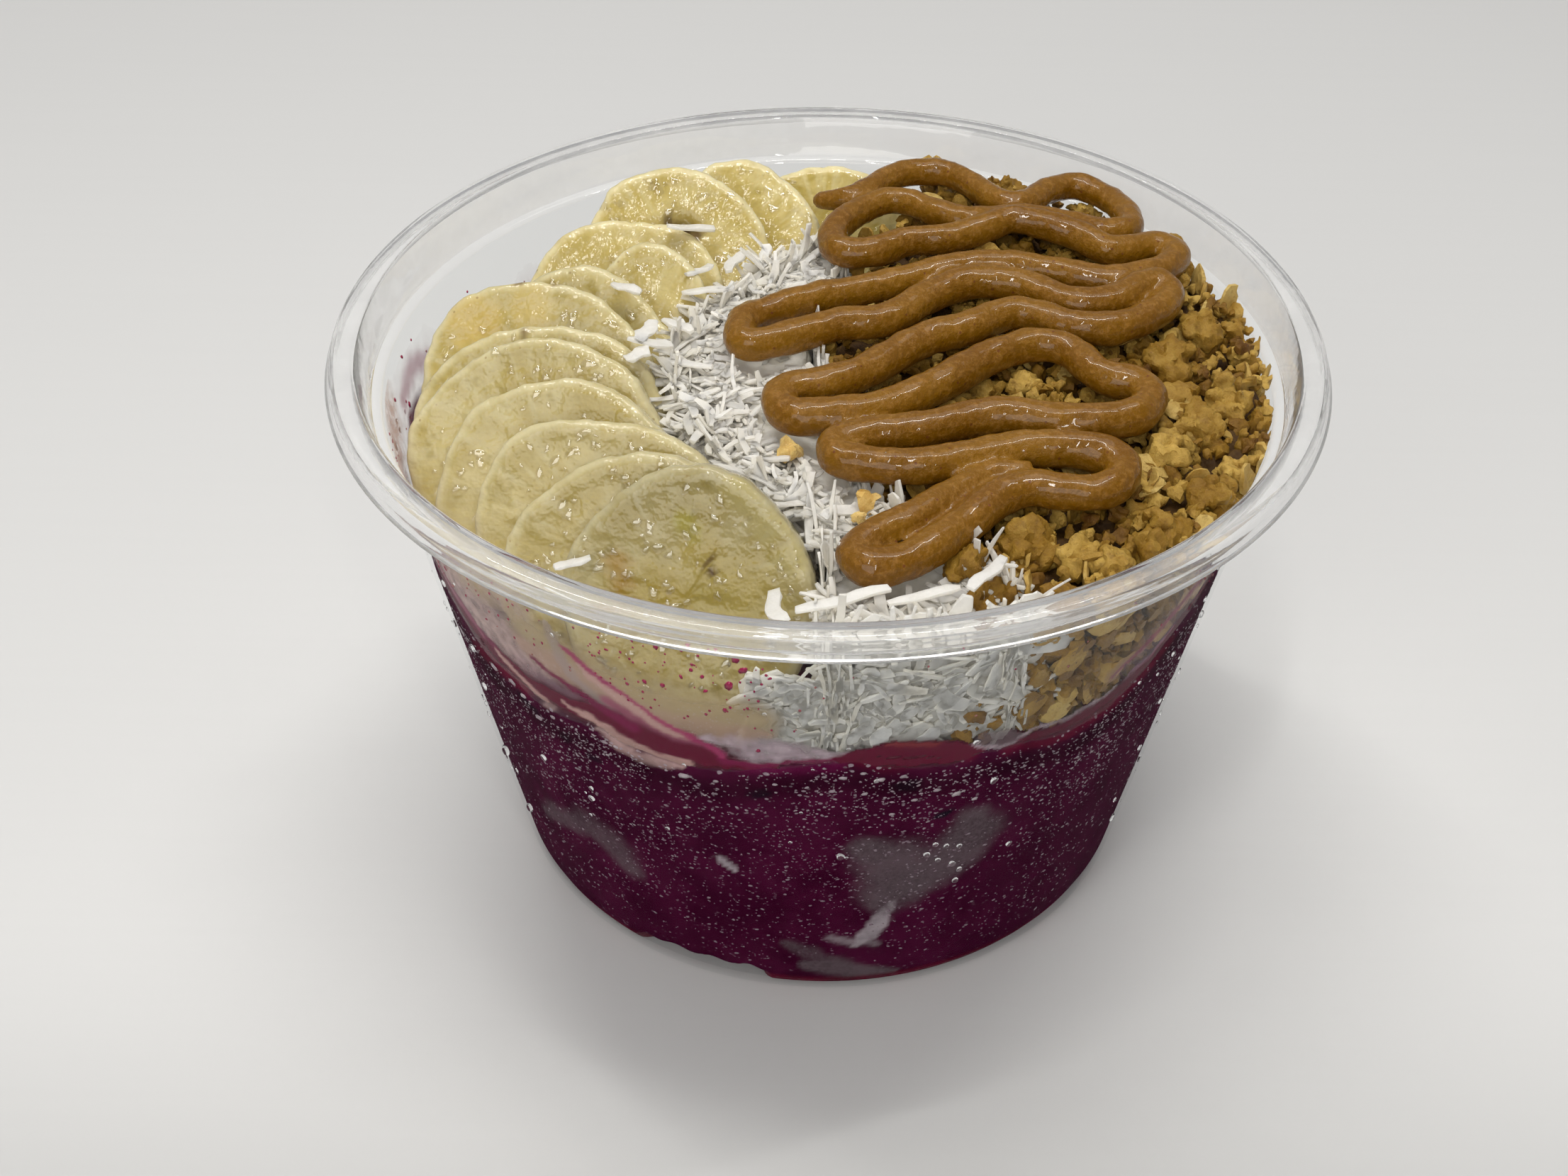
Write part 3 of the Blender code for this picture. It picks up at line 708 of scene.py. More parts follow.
filmStrokes = [
    # colour, strength, softness, route
    ("tint", 0.30, 0.95, [(-104, 57, 3), (-92, 55, 5), (-78, 54, 6), (-62, 51, 6), (-48, 49, 4.5)]),
    ("tint", 0.28, 0.95, [(42, 49, 1.5), (54, 53, 3.0), (68, 57, 4.0), (84, 58, 4.0), (100, 56, 3.0)]),
    ("tint", 0.35, 0.9, [(-70, 49, 2.4), (-60, 49, 3), (-50, 48.5, 2.6), (-42, 47.5, 1.8)]),
    ("haze", 0.6, 0.8, [(-44, 48, 1.3), (-37, 47.0, 1.7), (-31, 46.2, 1.2)]),
    ("wash", 0.72, 0.7, [(-84, 61, 3.0), (-74, 57, 4.0), (-64, 53.5, 4.0), (-54, 51.5, 4.0), (-45, 51, 3.6),
                         (-39, 50.4, 2.4)]),
    ("wash", 0.45, 0.8, [(-66, 61, 3.0), (-54, 59.5, 4.0), (-42, 58, 3.0)]),
    ("flesh", 0.86, 0.85, [(-40, 54.5, 2.6), (-34, 53.0, 3.2), (-27, 51.6, 3.2), (-19, 50.8, 3.2), (-13, 51.2, 3.2),
                           (-8.5, 51.8, 2.4)]),
    ("pulp", 0.6, 0.7, [(-28, 50.0, 0.8), (-22, 49.2, 1.5), (-16, 48.6, 1.8), (-10.5, 48.8, 1.6),
                         (-7, 49.2, 0.8)]),
    ("pulp", 0.85, 0.6, [(-42, 51.5, 1.4), (-36, 51.2, 2.4), (-30, 51.0, 2.0)]),
    ("drip", 0.6, 0.45, [(-35.9, 58.5, 0.7), (-35.5, 56, 1.1), (-34.9, 52.9, 1.05), (-33, 50.4, 0.8),
                         (-31.3, 49.3, 0.9), (-29, 47.9, 0.9), (-27.4, 47.1, 0.7)]),
    ("blush", 0.85, 0.6, [(-28.5, 48.9, 0.8), (-24, 47.4, 1.3), (-19, 45.6, 1.1), (-14, 44.8, 0.7)]),
    ("cream", 0.9, 0.4, [(-32.2, 54.1, 0.5), (-30, 52.5, 1.1), (-26.5, 50.5, 1.25), (-22, 48.3, 1.1),
                         (-18.6, 46.9, 0.7), (-16.6, 46.2, 0.3)]),
    ("crimson", 1.0, 0.3, [(-50, 46, 1.5), (-44, 44.6, 1.4), (-38, 44.6, 1.5), (-33, 45.1, 1.9), (-28, 45.3, 2.1),
                           (-23, 44.4, 2.2), (-18, 43.6, 1.9), (-12, 43.4, 1.2), (-6, 43.8, 0.7)]),
    ("magenta", 0.92, 0.4, [(-41, 50.2, 0.25), (-38.1, 49.5, 0.5), (-34.9, 48.8, 0.65), (-29.6, 47.1, 0.8),
                            (-25, 45.9, 1.0)]),
    ("arc", 0.92, 0.45, [(-33.8, 55.2, 0.35), (-32.6, 54.7, 0.6), (-28.2, 52.4, 0.42), (-23.6, 50.1, 0.38),
                         (-19.0, 47.4, 0.45), (-15.5, 46.0, 0.55), (-12.6, 44.6, 0.6)]),
    ("cream", 0.85, 0.4, [(-36.5, 44.8, 0.3), (-32.5, 44.2, 0.6), (-27.4, 42.7, 0.8), (-22.2, 41.9, 0.8),
                          (-18, 41.9, 0.5)]),
    ("crimson", 0.99, 0.5, [(-78, 52.0, 0.8), (-70, 50.4, 1.2), (-62, 48.4, 1.5), (-55, 46.0, 1.5), (-50, 45.2, 1.6)]),
    ("magenta", 0.85, 0.5, [(-66, 53.5, 0.3), (-60, 50.6, 0.5), (-54, 47.6, 0.5), (-50, 46.6, 0.8)]),
    ("blush", 0.75, 0.6, [(-64, 51.2, 0.4), (-58, 48.6, 0.8), (-53, 46.6, 0.5)]),
    ("cream", 0.8, 0.4, [(-50, 46.1, 0.3), (-47.9, 45.4, 0.5), (-43.4, 43.6, 0.6), (-40.1, 42.9, 0.4)]),
    ("foam", 0.85, 0.5, [(-15.5, 47.0, 0.4), (-11.5, 47.0, 1.3), (-7.5, 46.2, 1.9), (-3, 46.6, 1.7), (1, 46.4, 1.0),
                         (3.2, 46.6, 0.4)]),
    ("magenta", 0.9, 0.4, [(-13, 43.6, 0.5), (-8, 43.9, 0.6), (-5, 44.4, 0.35), (-2, 45.1, 0.4), (2, 45.5, 0.5)]),
    ("crimson", 1.0, 0.25, [(2.4, 45.8, 0.7), (6, 46.4, 1.1), (9.1, 46.8, 1.5), (13.7, 46.5, 1.6), (17.7, 45.4, 1.4),
                             (21.2, 44.0, 0.7)]),
    ("crimson", 1.0, 0.3, [(3, 44.9, 0.7), (9, 44.4, 0.9), (15, 43.9, 0.9), (20, 43.4, 0.6)]),
    ("orange", 0.45, 0.6, [(8.5, 47.8, 0.3), (11.5, 47.6, 0.5), (15.5, 47.2, 0.3)]),
    ("grey", 0.55, 0.4, [(21.8, 46.1, 1.1), (24.6, 45.3, 1.3), (26.2, 44.7, 0.8)]),
    ("foam", 0.75, 0.4, [(20.3, 45.7, 0.25), (21.8, 44.4, 0.35), (24.3, 43.7, 0.4), (27.3, 44.0, 0.3)]),
    ("foam", 0.65, 0.5, [(26.6, 44.6, 0.3), (30, 45.5, 0.5), (34, 44.8, 0.45), (37.7, 44.8, 0.55), (41.5, 45.3, 0.45),
                         (43.2, 46.2, 0.25)]),
    ("crimson", 0.98, 0.5, [(27, 44, 0.5), (33, 43.4, 0.9), (40, 43.6, 1.1), (47, 45.6, 1.0), (54, 49.2, 1.1),
                           (62, 51.6, 1.0), (72, 52.6, 0.6)]),
    ("haze", 0.8, 0.5, [(44.8, 46.4, 0.4), (49, 47.6, 0.6), (53.4, 50.0, 0.4)]),
    ("arc", 0.6, 0.6, [(41, 48.4, 0.25), (47, 51.0, 0.5), (55, 54.0, 0.7), (63, 56.6, 0.4)]),
    ("magenta", 0.9, 0.7, [(-110, 53, 0.6), (-100, 55, 0.9), (-92, 55.5, 1.2), (-85, 53.4, 0.6)]),
    ("arc", 0.5, 0.8, [(-104, 58, 0.7), (-97, 59.6, 1.4), (-91, 58.6, 1.0)]),
]


def farSmears(dice):
    # the far side has its own
    strokes = []
    for start in range(105, 240, 15):
        angle, level = start + dice.uniform(-4, 4), 51.0 + dice.uniform(-1, 1.2)
        span = dice.uniform(8, 16)
        colour = dice.choice(["crimson", "crimson", "magenta", "blush"])
        strokes.append((colour, dice.uniform(0.6, 0.95), 0.55, [
            (angle, level, 0.4), (angle + span * 0.5, level + dice.uniform(-0.6, 0.9), dice.uniform(0.6, 1.4)),
            (angle + span, level + dice.uniform(-0.5, 1.4), 0.3)]))
    for _ in range(6):
        angle, level = dice.uniform(110, 235), dice.uniform(53, 55)
        strokes.append(("tint", 0.35, 0.9, [(angle, level, 1.5), (angle + 9, level + dice.uniform(0, 3), 3.0)]))
    return strokes


def filmMaterial():
    paint = Paint("acai smears")
    where = paint.place()
    smear = paint.attribute("smear", "Color")
    pale = paint.node("ShaderNodeSeparateColor", {0: smear}, output="Green").ramp(0.15, 0.5)
    froth = (0.22 - paint.cells(where, 0.55)).ramp(0.0, 0.05)
    tone = paint.mix(froth * pale * 0.35, smear, (0.75, 0.66, 0.70))
    cover = paint.attribute("cover")
    relief = paint.bump(paint.noise(where, 0.8, 2.0), 0.08, 0.5)
    return paint.finish(paint.principled(Base_Color=tone, Alpha=cover, Roughness=0.4, Normal=relief,
                                         Specular_IOR_Level=0.0))


def makeFilm():
    dice = random.Random(8)
    columns = int(2 * math.pi * innerRadius(52) / filmSet["step"])
    rows = int((filmSet["high"] - filmSet["low"]) / filmSet["step"])
    inside = filmSet["inside"]
    levels = [filmSet["low"] + (filmSet["high"] - filmSet["low"]) * k / rows for k in range(rows + 1)]
    film = turnedShell("acaiSmears", [(innerRadius(level) - inside, level) for level in levels], columns)
    points = corners(film)
    angles, heights = compassOf(points), points[:, 2] / mm
    shift = np.array([(wobble(p, 5, 1.3), wobble(p, 5, 8.1), wobble(p, 1.6, 3.3), wobble(p, 1.6, 5.5),
                       wobble(p, 0.8, 2.2)) for p in points])
    angles = angles + 0.7 * shift[:, 0] + 0.5 * shift[:, 2]
    heights = heights + 0.5 * shift[:, 1] + 0.4 * shift[:, 3] + 0.2 * shift[:, 4]
    colours, cover = np.zeros((len(points), 3)), np.zeros(len(points))
    for stroke in filmStrokes + farSmears(dice):
        share = strokeShare(angles, heights, stroke, filmSet)
        if stroke[0] in filmSet["uneven"]:
            share = share * np.clip(0.9 + 0.5 * shift[:, 2] + 0.4 * shift[:, 4], 0, 1.15)
        whole = share + cover * (1 - share)
        mixed = np.array(filmColours[stroke[0]]) * share[:, None] + colours * (cover * (1 - share))[:, None]
        colours = mixed / np.maximum(whole, 1e-6)[:, None]
        cover = whole
    paintPoints(film, "smear", np.hstack([colours, np.ones((len(points), 1))]))
    paintPoints(film, "cover", 1 - np.sqrt(np.clip(1 - cover, 0, 1)))      # it is seen through two faces
    activate(film)
    bpy.ops.object.mode_set(mode="EDIT")
    bpy.ops.mesh.select_mode(type="VERT")
    bpy.ops.mesh.select_all(action="DESELECT")
    bpy.ops.object.mode_set(mode="OBJECT")
    for vertex, share in zip(film.data.vertices, cover):
        vertex.select = bool(share < filmSet["faintest"])
    bpy.ops.object.mode_set(mode="EDIT")
    bpy.ops.mesh.delete(type="VERT")
    bpy.ops.object.mode_set(mode="OBJECT")
    thicken = film.modifiers.new("thicken", "SOLIDIFY")
    thicken.thickness = filmSet["thick"] * mm
    applyAll(film)
    finishPiece(film, (), filmMaterial(), 60)


makeFilm()


def roundDrop(steps):
    # a ball that each kind of drop is drawn out from
    deselectAll()
    bpy.ops.mesh.primitive_ico_sphere_add(subdivisions=steps, radius=mm)
    points, faces = shapeOf(bpy.context.object)
    return points / mm, faces


def wallDrops(name, rows, steps, material):
    # rows: angle, height, outside, half width, half length, turn, how proud, tone
    shape = roundDrop(steps)
    parts = []
    for index, (angle, height, outside, wide, long, turn, proud, _) in enumerate(rows):
        spot, axes = wallPlace(angle, height, outside)
        points = shape[0] * np.array((wide, long, proud))
        bulge = 1 + 0.12 * np.sin(np.arctan2(points[:, 1], points[:, 0]) * 3 + index)
        points[:, :2] *= bulge[:, None]
        c, n = math.cos(turn), math.sin(turn)
        points[:, :2] = np.stack([points[:, 0] * c - points[:, 1] * n, points[:, 0] * n + points[:, 1] * c], axis=1)
        parts.append((points * mm @ axes.T + spot, shape[1]))
    piece = joinedMesh(name, parts, [row[-1] for row in rows])
    finishPiece(piece, (), material)


spatterSet = {
    "big": [(-19.7, 61.1, 0.45), (-15.7, 61.9, 0.35), (-12.3, 62.0, 0.4), (-10.0, 61.4, 0.62), (-11.1, 56.9, 0.66),
            (-11.9, 52.7, 0.35), (-19.7, 54.8, 0.42), (-22.1, 54.6, 0.38), (-24.7, 53.3, 0.3), (-15.6, 58.5, 0.34),
            (-14.3, 57.7, 0.32), (-14.1, 55.4, 0.28), (-9.0, 53.5, 0.25), (-9.2, 59.8, 0.58), (-17.0, 57.0, 0.26),
            (-8.0, 46.4, 0.35), (108.0, 60.5, 0.6), (-96.0, 62.0, 0.3), (-88.0, 60.5, 0.35), (-93.0, 57.0, 0.45)],
    "small": 240, "smallSizes": (0.09, 0.22), "outside": -0.03}


def spatterMaterial():
    paint = Paint("acai spatter")
    tone = paint.mix(paint.attribute("tone"), (0.36, 0.17, 0.14), (0.30, 0.006, 0.06))
    return paint.finish(paint.principled(Base_Color=tone, Roughness=0.2))


def makeSpatter():
    dice = random.Random(12)
    outside = spatterSet["outside"]
    rows = [(a, z, outside, size * 0.8, size * dice.uniform(1.0, 1.5), dice.uniform(-0.9, 0.3), 0.12, 1.0)
            for a, z, size in spatterSet["big"]]
    for _ in range(spatterSet["small"]):
        angle = dice.choice([dice.uniform(-30, -6), dice.uniform(-80, -36), dice.uniform(-110, 110),
                             dice.uniform(-180, 180)])
        size = dice.uniform(*spatterSet["smallSizes"])
        tone = 1.0 if -30 < angle < -5 or dice.random() < 0.4 else dice.uniform(0.0, 0.6)
        rows.append((angle, dice.uniform(50, 62.5), outside, size, size * dice.uniform(1, 1.4), 0.0, 0.08, tone))
    wallDrops("acaiSpatter", rows, 1, spatterMaterial())


makeSpatter()

bubbleSet = {
    "big": [(-63.7, 40.8, 1.0), (-52.2, 42.2, 0.9), (-47.6, 42.5, 0.75), (-45.7, 41.3, 0.7), (-43.3, 39.0, 0.8),
            (-39.7, 41.0, 0.5), (-30.4, 41.3, 0.5), (-28.7, 41.2, 0.45), (-18.7, 39.8, 0.9), (-14.1, 40.1, 0.45),
            (3.0, 42.6, 0.6), (8.0, 42.0, 0.7), (11.0, 42.2, 0.55), (5.6, 43.3, 0.45), (1.6, 40.2, 0.5),
            (16.0, 38.8, 0.6), (19.0, 37.4, 0.75), (13.0, 37.6, 0.5), (6.0, 39.6, 0.5), (22.0, 35.6, 0.5),
            (10.0, 35.4, 0.45), (-6.0, 41.0, 0.4)],
    "count": 8800, "nearTop": 0.55, "spread": 12.0, "lowest": 5}


def bubbleMaterial():
    paint = Paint("air bubbles")
    tone = paint.mix(paint.attribute("tone"), (0.17, 0.095, 0.135), (0.54, 0.47, 0.50))
    return paint.finish(paint.principled(Base_Color=tone, Roughness=0.3))


def makeBubbles():
    dice = random.Random(4)
    rows = [(a, z, 0.24, size * 0.9, size * 0.55, dice.uniform(-0.4, 0.4), 0.1, dice.uniform(0.5, 0.9))
            for a, z, size in bubbleSet["big"]]
    while len(rows) < bubbleSet["count"]:
        angle = dice.uniform(-180, 180)
        high = dice.random() < bubbleSet["nearTop"]
        below = abs(dice.gauss(0, bubbleSet["spread"])) + 0.7 if high else dice.uniform(2, 38)
        height = float(shoreLevel(np.array([angle]))[0]) - below
        spot, _ = wallPlace(angle, height, 0)
        sparse = 50 < abs(angle) < 130 and dice.random() < 0.5
        if height < bubbleSet["lowest"] or sparse or noise.noise(Vector(spot) / (7 * mm)) < dice.uniform(-0.7, 0.2):
            continue
        size = 0.07 + 0.17 * dice.random() ** 4
        rows.append((angle, height, 0.225, size * dice.uniform(0.9, 1.6), size * 0.85, dice.uniform(-0.6, 0.6), 0.05,
                     dice.uniform(0.1, 0.9) * max(0.4, 1 - below / 34)))
    wallDrops("airBubbles", rows, 1, bubbleMaterial())


makeBubbles()

dropSet = {"big": [(15.9, 27.2, 0.42), (17.8, 25.7, 0.36), (20.3, 24.3, 0.46), (21.8, 22.8, 0.40), (21.5, 20.7, 0.42),
                   (18.8, 28.2, 0.34), (20.9, 27.6, 0.36), (17.0, 28.9, 0.36), (-62.0, 22.0, 0.7), (-60.0, 13.0, 0.6)],
           "count": 230, "levels": (12, 58), "proud": 0.42}


def dropMaterial():
    paint = Paint("water drops")
    clear = paint.principled(Base_Color=(1.0, 1.0, 1.0), Roughness=0.02, IOR=1.33, Transmission_Weight=1.0)
    return paint.finish(paint.paleShadow(clear, 1.0, 1.0, 1.0))


def makeDrops():
    dice = random.Random(9)
    wall = tubSet["wall"]
    rows = [(a, z, wall, size, size * 1.05, 0.0, size * 0.6, 1.0) for a, z, size in dropSet["big"]]
    while len(rows) < dropSet["count"]:
        side = dice.random()
        angle = dice.uniform(55, 128) * dice.choice([-1, 1]) if side < 0.6 else dice.uniform(-180, 180)
        height = dice.uniform(*dropSet["levels"])
        size = 0.15 + 0.42 * dice.random() ** 2
        rows.append((angle, height, wall, size * dice.uniform(0.9, 1.2), size * dice.uniform(1.0, 1.3),
                     dice.uniform(-0.5, 0.5), size * dropSet["proud"], 1.0))
    wallDrops("waterDrops", rows, 2, dropMaterial())


makeDrops()


# slices lie on their solids; u and v run over a face from -1 to 1
sliceSet = {"count": 13, "segments": 112, "half": 1.85, "edge": 0.75, "arcRows": 7, "wallGap": 0.2,
            "shares": [0.06, 0.13, 0.2, 0.28, 0.36, 0.44, 0.52, 0.6, 0.68, 0.76, 0.84, 0.9],
            "outlineNoise": [(2.2, 0.36), (6.0, 0.30), (15.0, 0.16)],
            "faceNoise": [(5, 0.20), (13, 0.11), (30, 0.05)],
            "split": 11,       # the slice with an open core
            "cores": {1: (0.13, 0.22), 11: (0.05, 0.38)},
            # painted light and shade by slice number: darker slices at the front, lighter ones at the back
            "paintedSliceLight": [(1, 0.71), (2, 0.86), (3, 0.93), (8, 0.97), (10, 1.1), (13, 1.18)]}


def sliceFrame(node):
    # middle, axes and outline of a slice's solid
    points = corners(frame["nodes"][node])
    middle = points.mean(axis=0)
    _, axes = np.linalg.eigh(np.cov((points - middle).T))
    normal = axes[:, 0] if axes[2, 0] > 0 else -axes[:, 0]
    rise = np.array((0, 0, 1.0)) - normal[2] * normal
    rise /= np.linalg.norm(rise)
    side = np.cross(rise, normal)
    flat = (points - middle) @ np.stack([side, rise, normal]).T
    middle = middle + normal * (flat[:, 2].max() + flat[:, 2].min()) / 2
    waist = np.abs(flat[:, 2]) < 1.5 * mm
    angles = np.arctan2(flat[waist, 1], flat[waist, 0])
    radii = np.hypot(flat[waist, 0], flat[waist, 1])
    order = np.argsort(angles)
    angles, radii = angles[order], radii[order]
    angles = np.concatenate([angles - 2 * math.pi, angles, angles + 2 * math.pi])
    radii = np.tile(radii, 3)
    return middle, np.stack([side, rise, normal], axis=1), angles, radii


def bananaMaterial():
    paint = Paint("banana")
    spot = paint.attribute("spot", "Vector")
    where = paint.place()
    u, v, seed = (paint.node("ShaderNodeSeparateXYZ", {0: spot}, output=axis) for axis in "XYZ")
    reach = (u * u + v * v).power(0.5)
    turn = u.math("ARCTAN2", v, u)
    onFace = paint.attribute("onFace")
    # soft zones differ from slice to slice
    moved = paint.node("ShaderNodeVectorMath", {0: spot, 1: (2.3, 2.3, 3.7)}, operation="MULTIPLY")
    zones = paint.node("ShaderNodeTexNoise", {"Vector": moved, "Scale": 1.0, "Detail": 3.0, "Roughness": 0.55})
    flesh = paint.mix(zones.ramp(0.36, 0.62), (0.56, 0.465, 0.205), (0.46, 0.360, 0.115))
    rays = paint.node("ShaderNodeTexNoise", {"Vector": paint.node(
        "ShaderNodeCombineXYZ", {0: turn * 9.0, 1: reach * 1.6, 2: seed}), "Scale": 1.0, "Detail": 2.0})
    flesh = paint.mix(rays.ramp(0.45, 0.75) * reach.ramp(0.45, 0.7) * 0.45, flesh, (0.62, 0.55, 0.31))
    core = (1 - reach.ramp(0.30, 0.62)) * onFace
    lobes = (turn * 3.0 + seed).math("COSINE", turn * 3.0 + seed)
    flesh = paint.mix(core * (lobes * 0.25 + 0.45), flesh, (0.38, 0.280, 0.050))
    clearZone = paint.node("ShaderNodeTexNoise", {"Vector": moved, "Scale": 1.9, "Detail": 2.0}).ramp(0.58, 0.72)
    flesh = paint.mix(clearZone * 0.55, flesh, (0.33, 0.245, 0.038))
    rim = reach.ramp(0.88, 0.97) * paint.noise(where, 3.0, 2.0).ramp(0.3, 0.6, 0.55, 1.0)
    flesh = paint.mix(rim * 0.8, flesh, (0.70, 0.63, 0.39))
    # painted light and shade: each slice's flesh colour is scaled by its own shade, darker at the front and lighter at
    # the back
    flesh = paint.node("ShaderNodeVectorMath", {0: flesh, "Scale": paint.attribute("shade")}, operation="SCALE")
    stain = paint.attribute("stain", "Color")
    stained = paint.attribute("stained")
    flesh = paint.mix(stained, flesh, stain)
    specks = (0.11 - paint.cells(where, 1.7)).ramp(0.0, 0.03) * reach.ramp(0.86, 0.95)
    flesh = paint.mix(specks * 0.55, flesh, (0.30, 0.19, 0.07))
    pulp = paint.noise(where, 1.1, 3.0, 0.6)
    wet = paint.noise(where, 1.5, 2.0, 0.55)
    fibres = paint.node("ShaderNodeTexNoise", {"Vector": paint.node(
        "ShaderNodeCombineXYZ", {0: turn * 22.0, 1: reach * 5.0, 2: seed}), "Scale": 1.0, "Detail": 2.0})
    relief = paint.bump(fibres * reach.ramp(0.35, 0.65), 0.08, 0.35)
    relief = paint.bump(pulp, 0.12, 0.35, relief)
    relief = paint.bump(wet, 0.36, 0.7, relief)
    return paint.finish(paint.principled(
        Base_Color=flesh, Roughness=0.06 + pulp * 0.11, Normal=relief, Subsurface_Weight=0.2,
        Subsurface_Radius=(1.0, 0.7, 0.3), Subsurface_Scale=0.002, Specular_IOR_Level=0.42))


sliceStains = {
    # u, v, radius, colour, strength in slice units
    1: [(-0.07, 0.57, 0.09, (0.36, 0.31, 0.05), 0.75), (0.0, 0.50, 0.08, (0.36, 0.31, 0.05), 0.6),
        (0.05, 0.45, 0.06, (0.33, 0.27, 0.05), 0.6), (-0.57, 0.2, 0.12, (0.28, 0.16, 0.01), 0.9),
        (-0.52, 0.05, 0.11, (0.28, 0.16, 0.01), 0.9), (-0.42, -0.04, 0.10, (0.30, 0.20, 0.03), 0.6),
        (0.14, 0.29, 0.045, (0.10, 0.05, 0.015), 0.95), (0.18, 0.22, 0.045, (0.08, 0.04, 0.012), 0.95),
        (0.09, 0.14, 0.035, (0.20, 0.12, 0.04), 0.8), (0.13, 0.20, 0.14, (0.42, 0.33, 0.10), 0.45),
        (0.35, 0.85, 0.16, (0.47, 0.40, 0.16), 0.55), (0.62, 0.62, 0.15, (0.47, 0.40, 0.16), 0.5),
        (0.78, 0.38, 0.14, (0.47, 0.40, 0.16), 0.5), (-0.2, -0.25, 0.5, (0.34, 0.25, 0.045), 0.6),
        (0.35, -0.1, 0.5, (0.34, 0.26, 0.055), 0.6), (0.1, 0.3, 0.25, (0.38, 0.29, 0.07), 0.5)],
    7: [(-0.25, 0.97, 0.05, (0.16, 0.09, 0.03), 0.8), (0.07, 1.0, 0.045, (0.2, 0.12, 0.04), 0.7),
        (-0.55, 0.55, 0.25, (0.62, 0.44, 0.12), 0.55), (-0.1, 0.75, 0.22, (0.62, 0.46, 0.14), 0.5)],
    6: [(-0.26, 0.9, 0.05, (0.16, 0.10, 0.04), 0.8)],
    5: [(-0.25, 1.0, 0.05, (0.2, 0.14, 0.06), 0.6)],
    10: [(-0.12, 0.52, 0.07, (0.22, 0.15, 0.05), 0.6), (-0.02, 0.55, 0.06, (0.22, 0.15, 0.05), 0.5)],
    11: [(-0.06, 0.44, 0.10, (0.10, 0.06, 0.025), 0.95), (0.07, 0.40, 0.11, (0.06, 0.035, 0.015), 0.97),
         (0.18, 0.36, 0.08, (0.12, 0.07, 0.03), 0.9), (0.05, 0.42, 0.25, (0.34, 0.25, 0.06), 0.6)],
    12: [(0.1, 0.2, 0.2, (0.45, 0.36, 0.10), 0.5)],
}


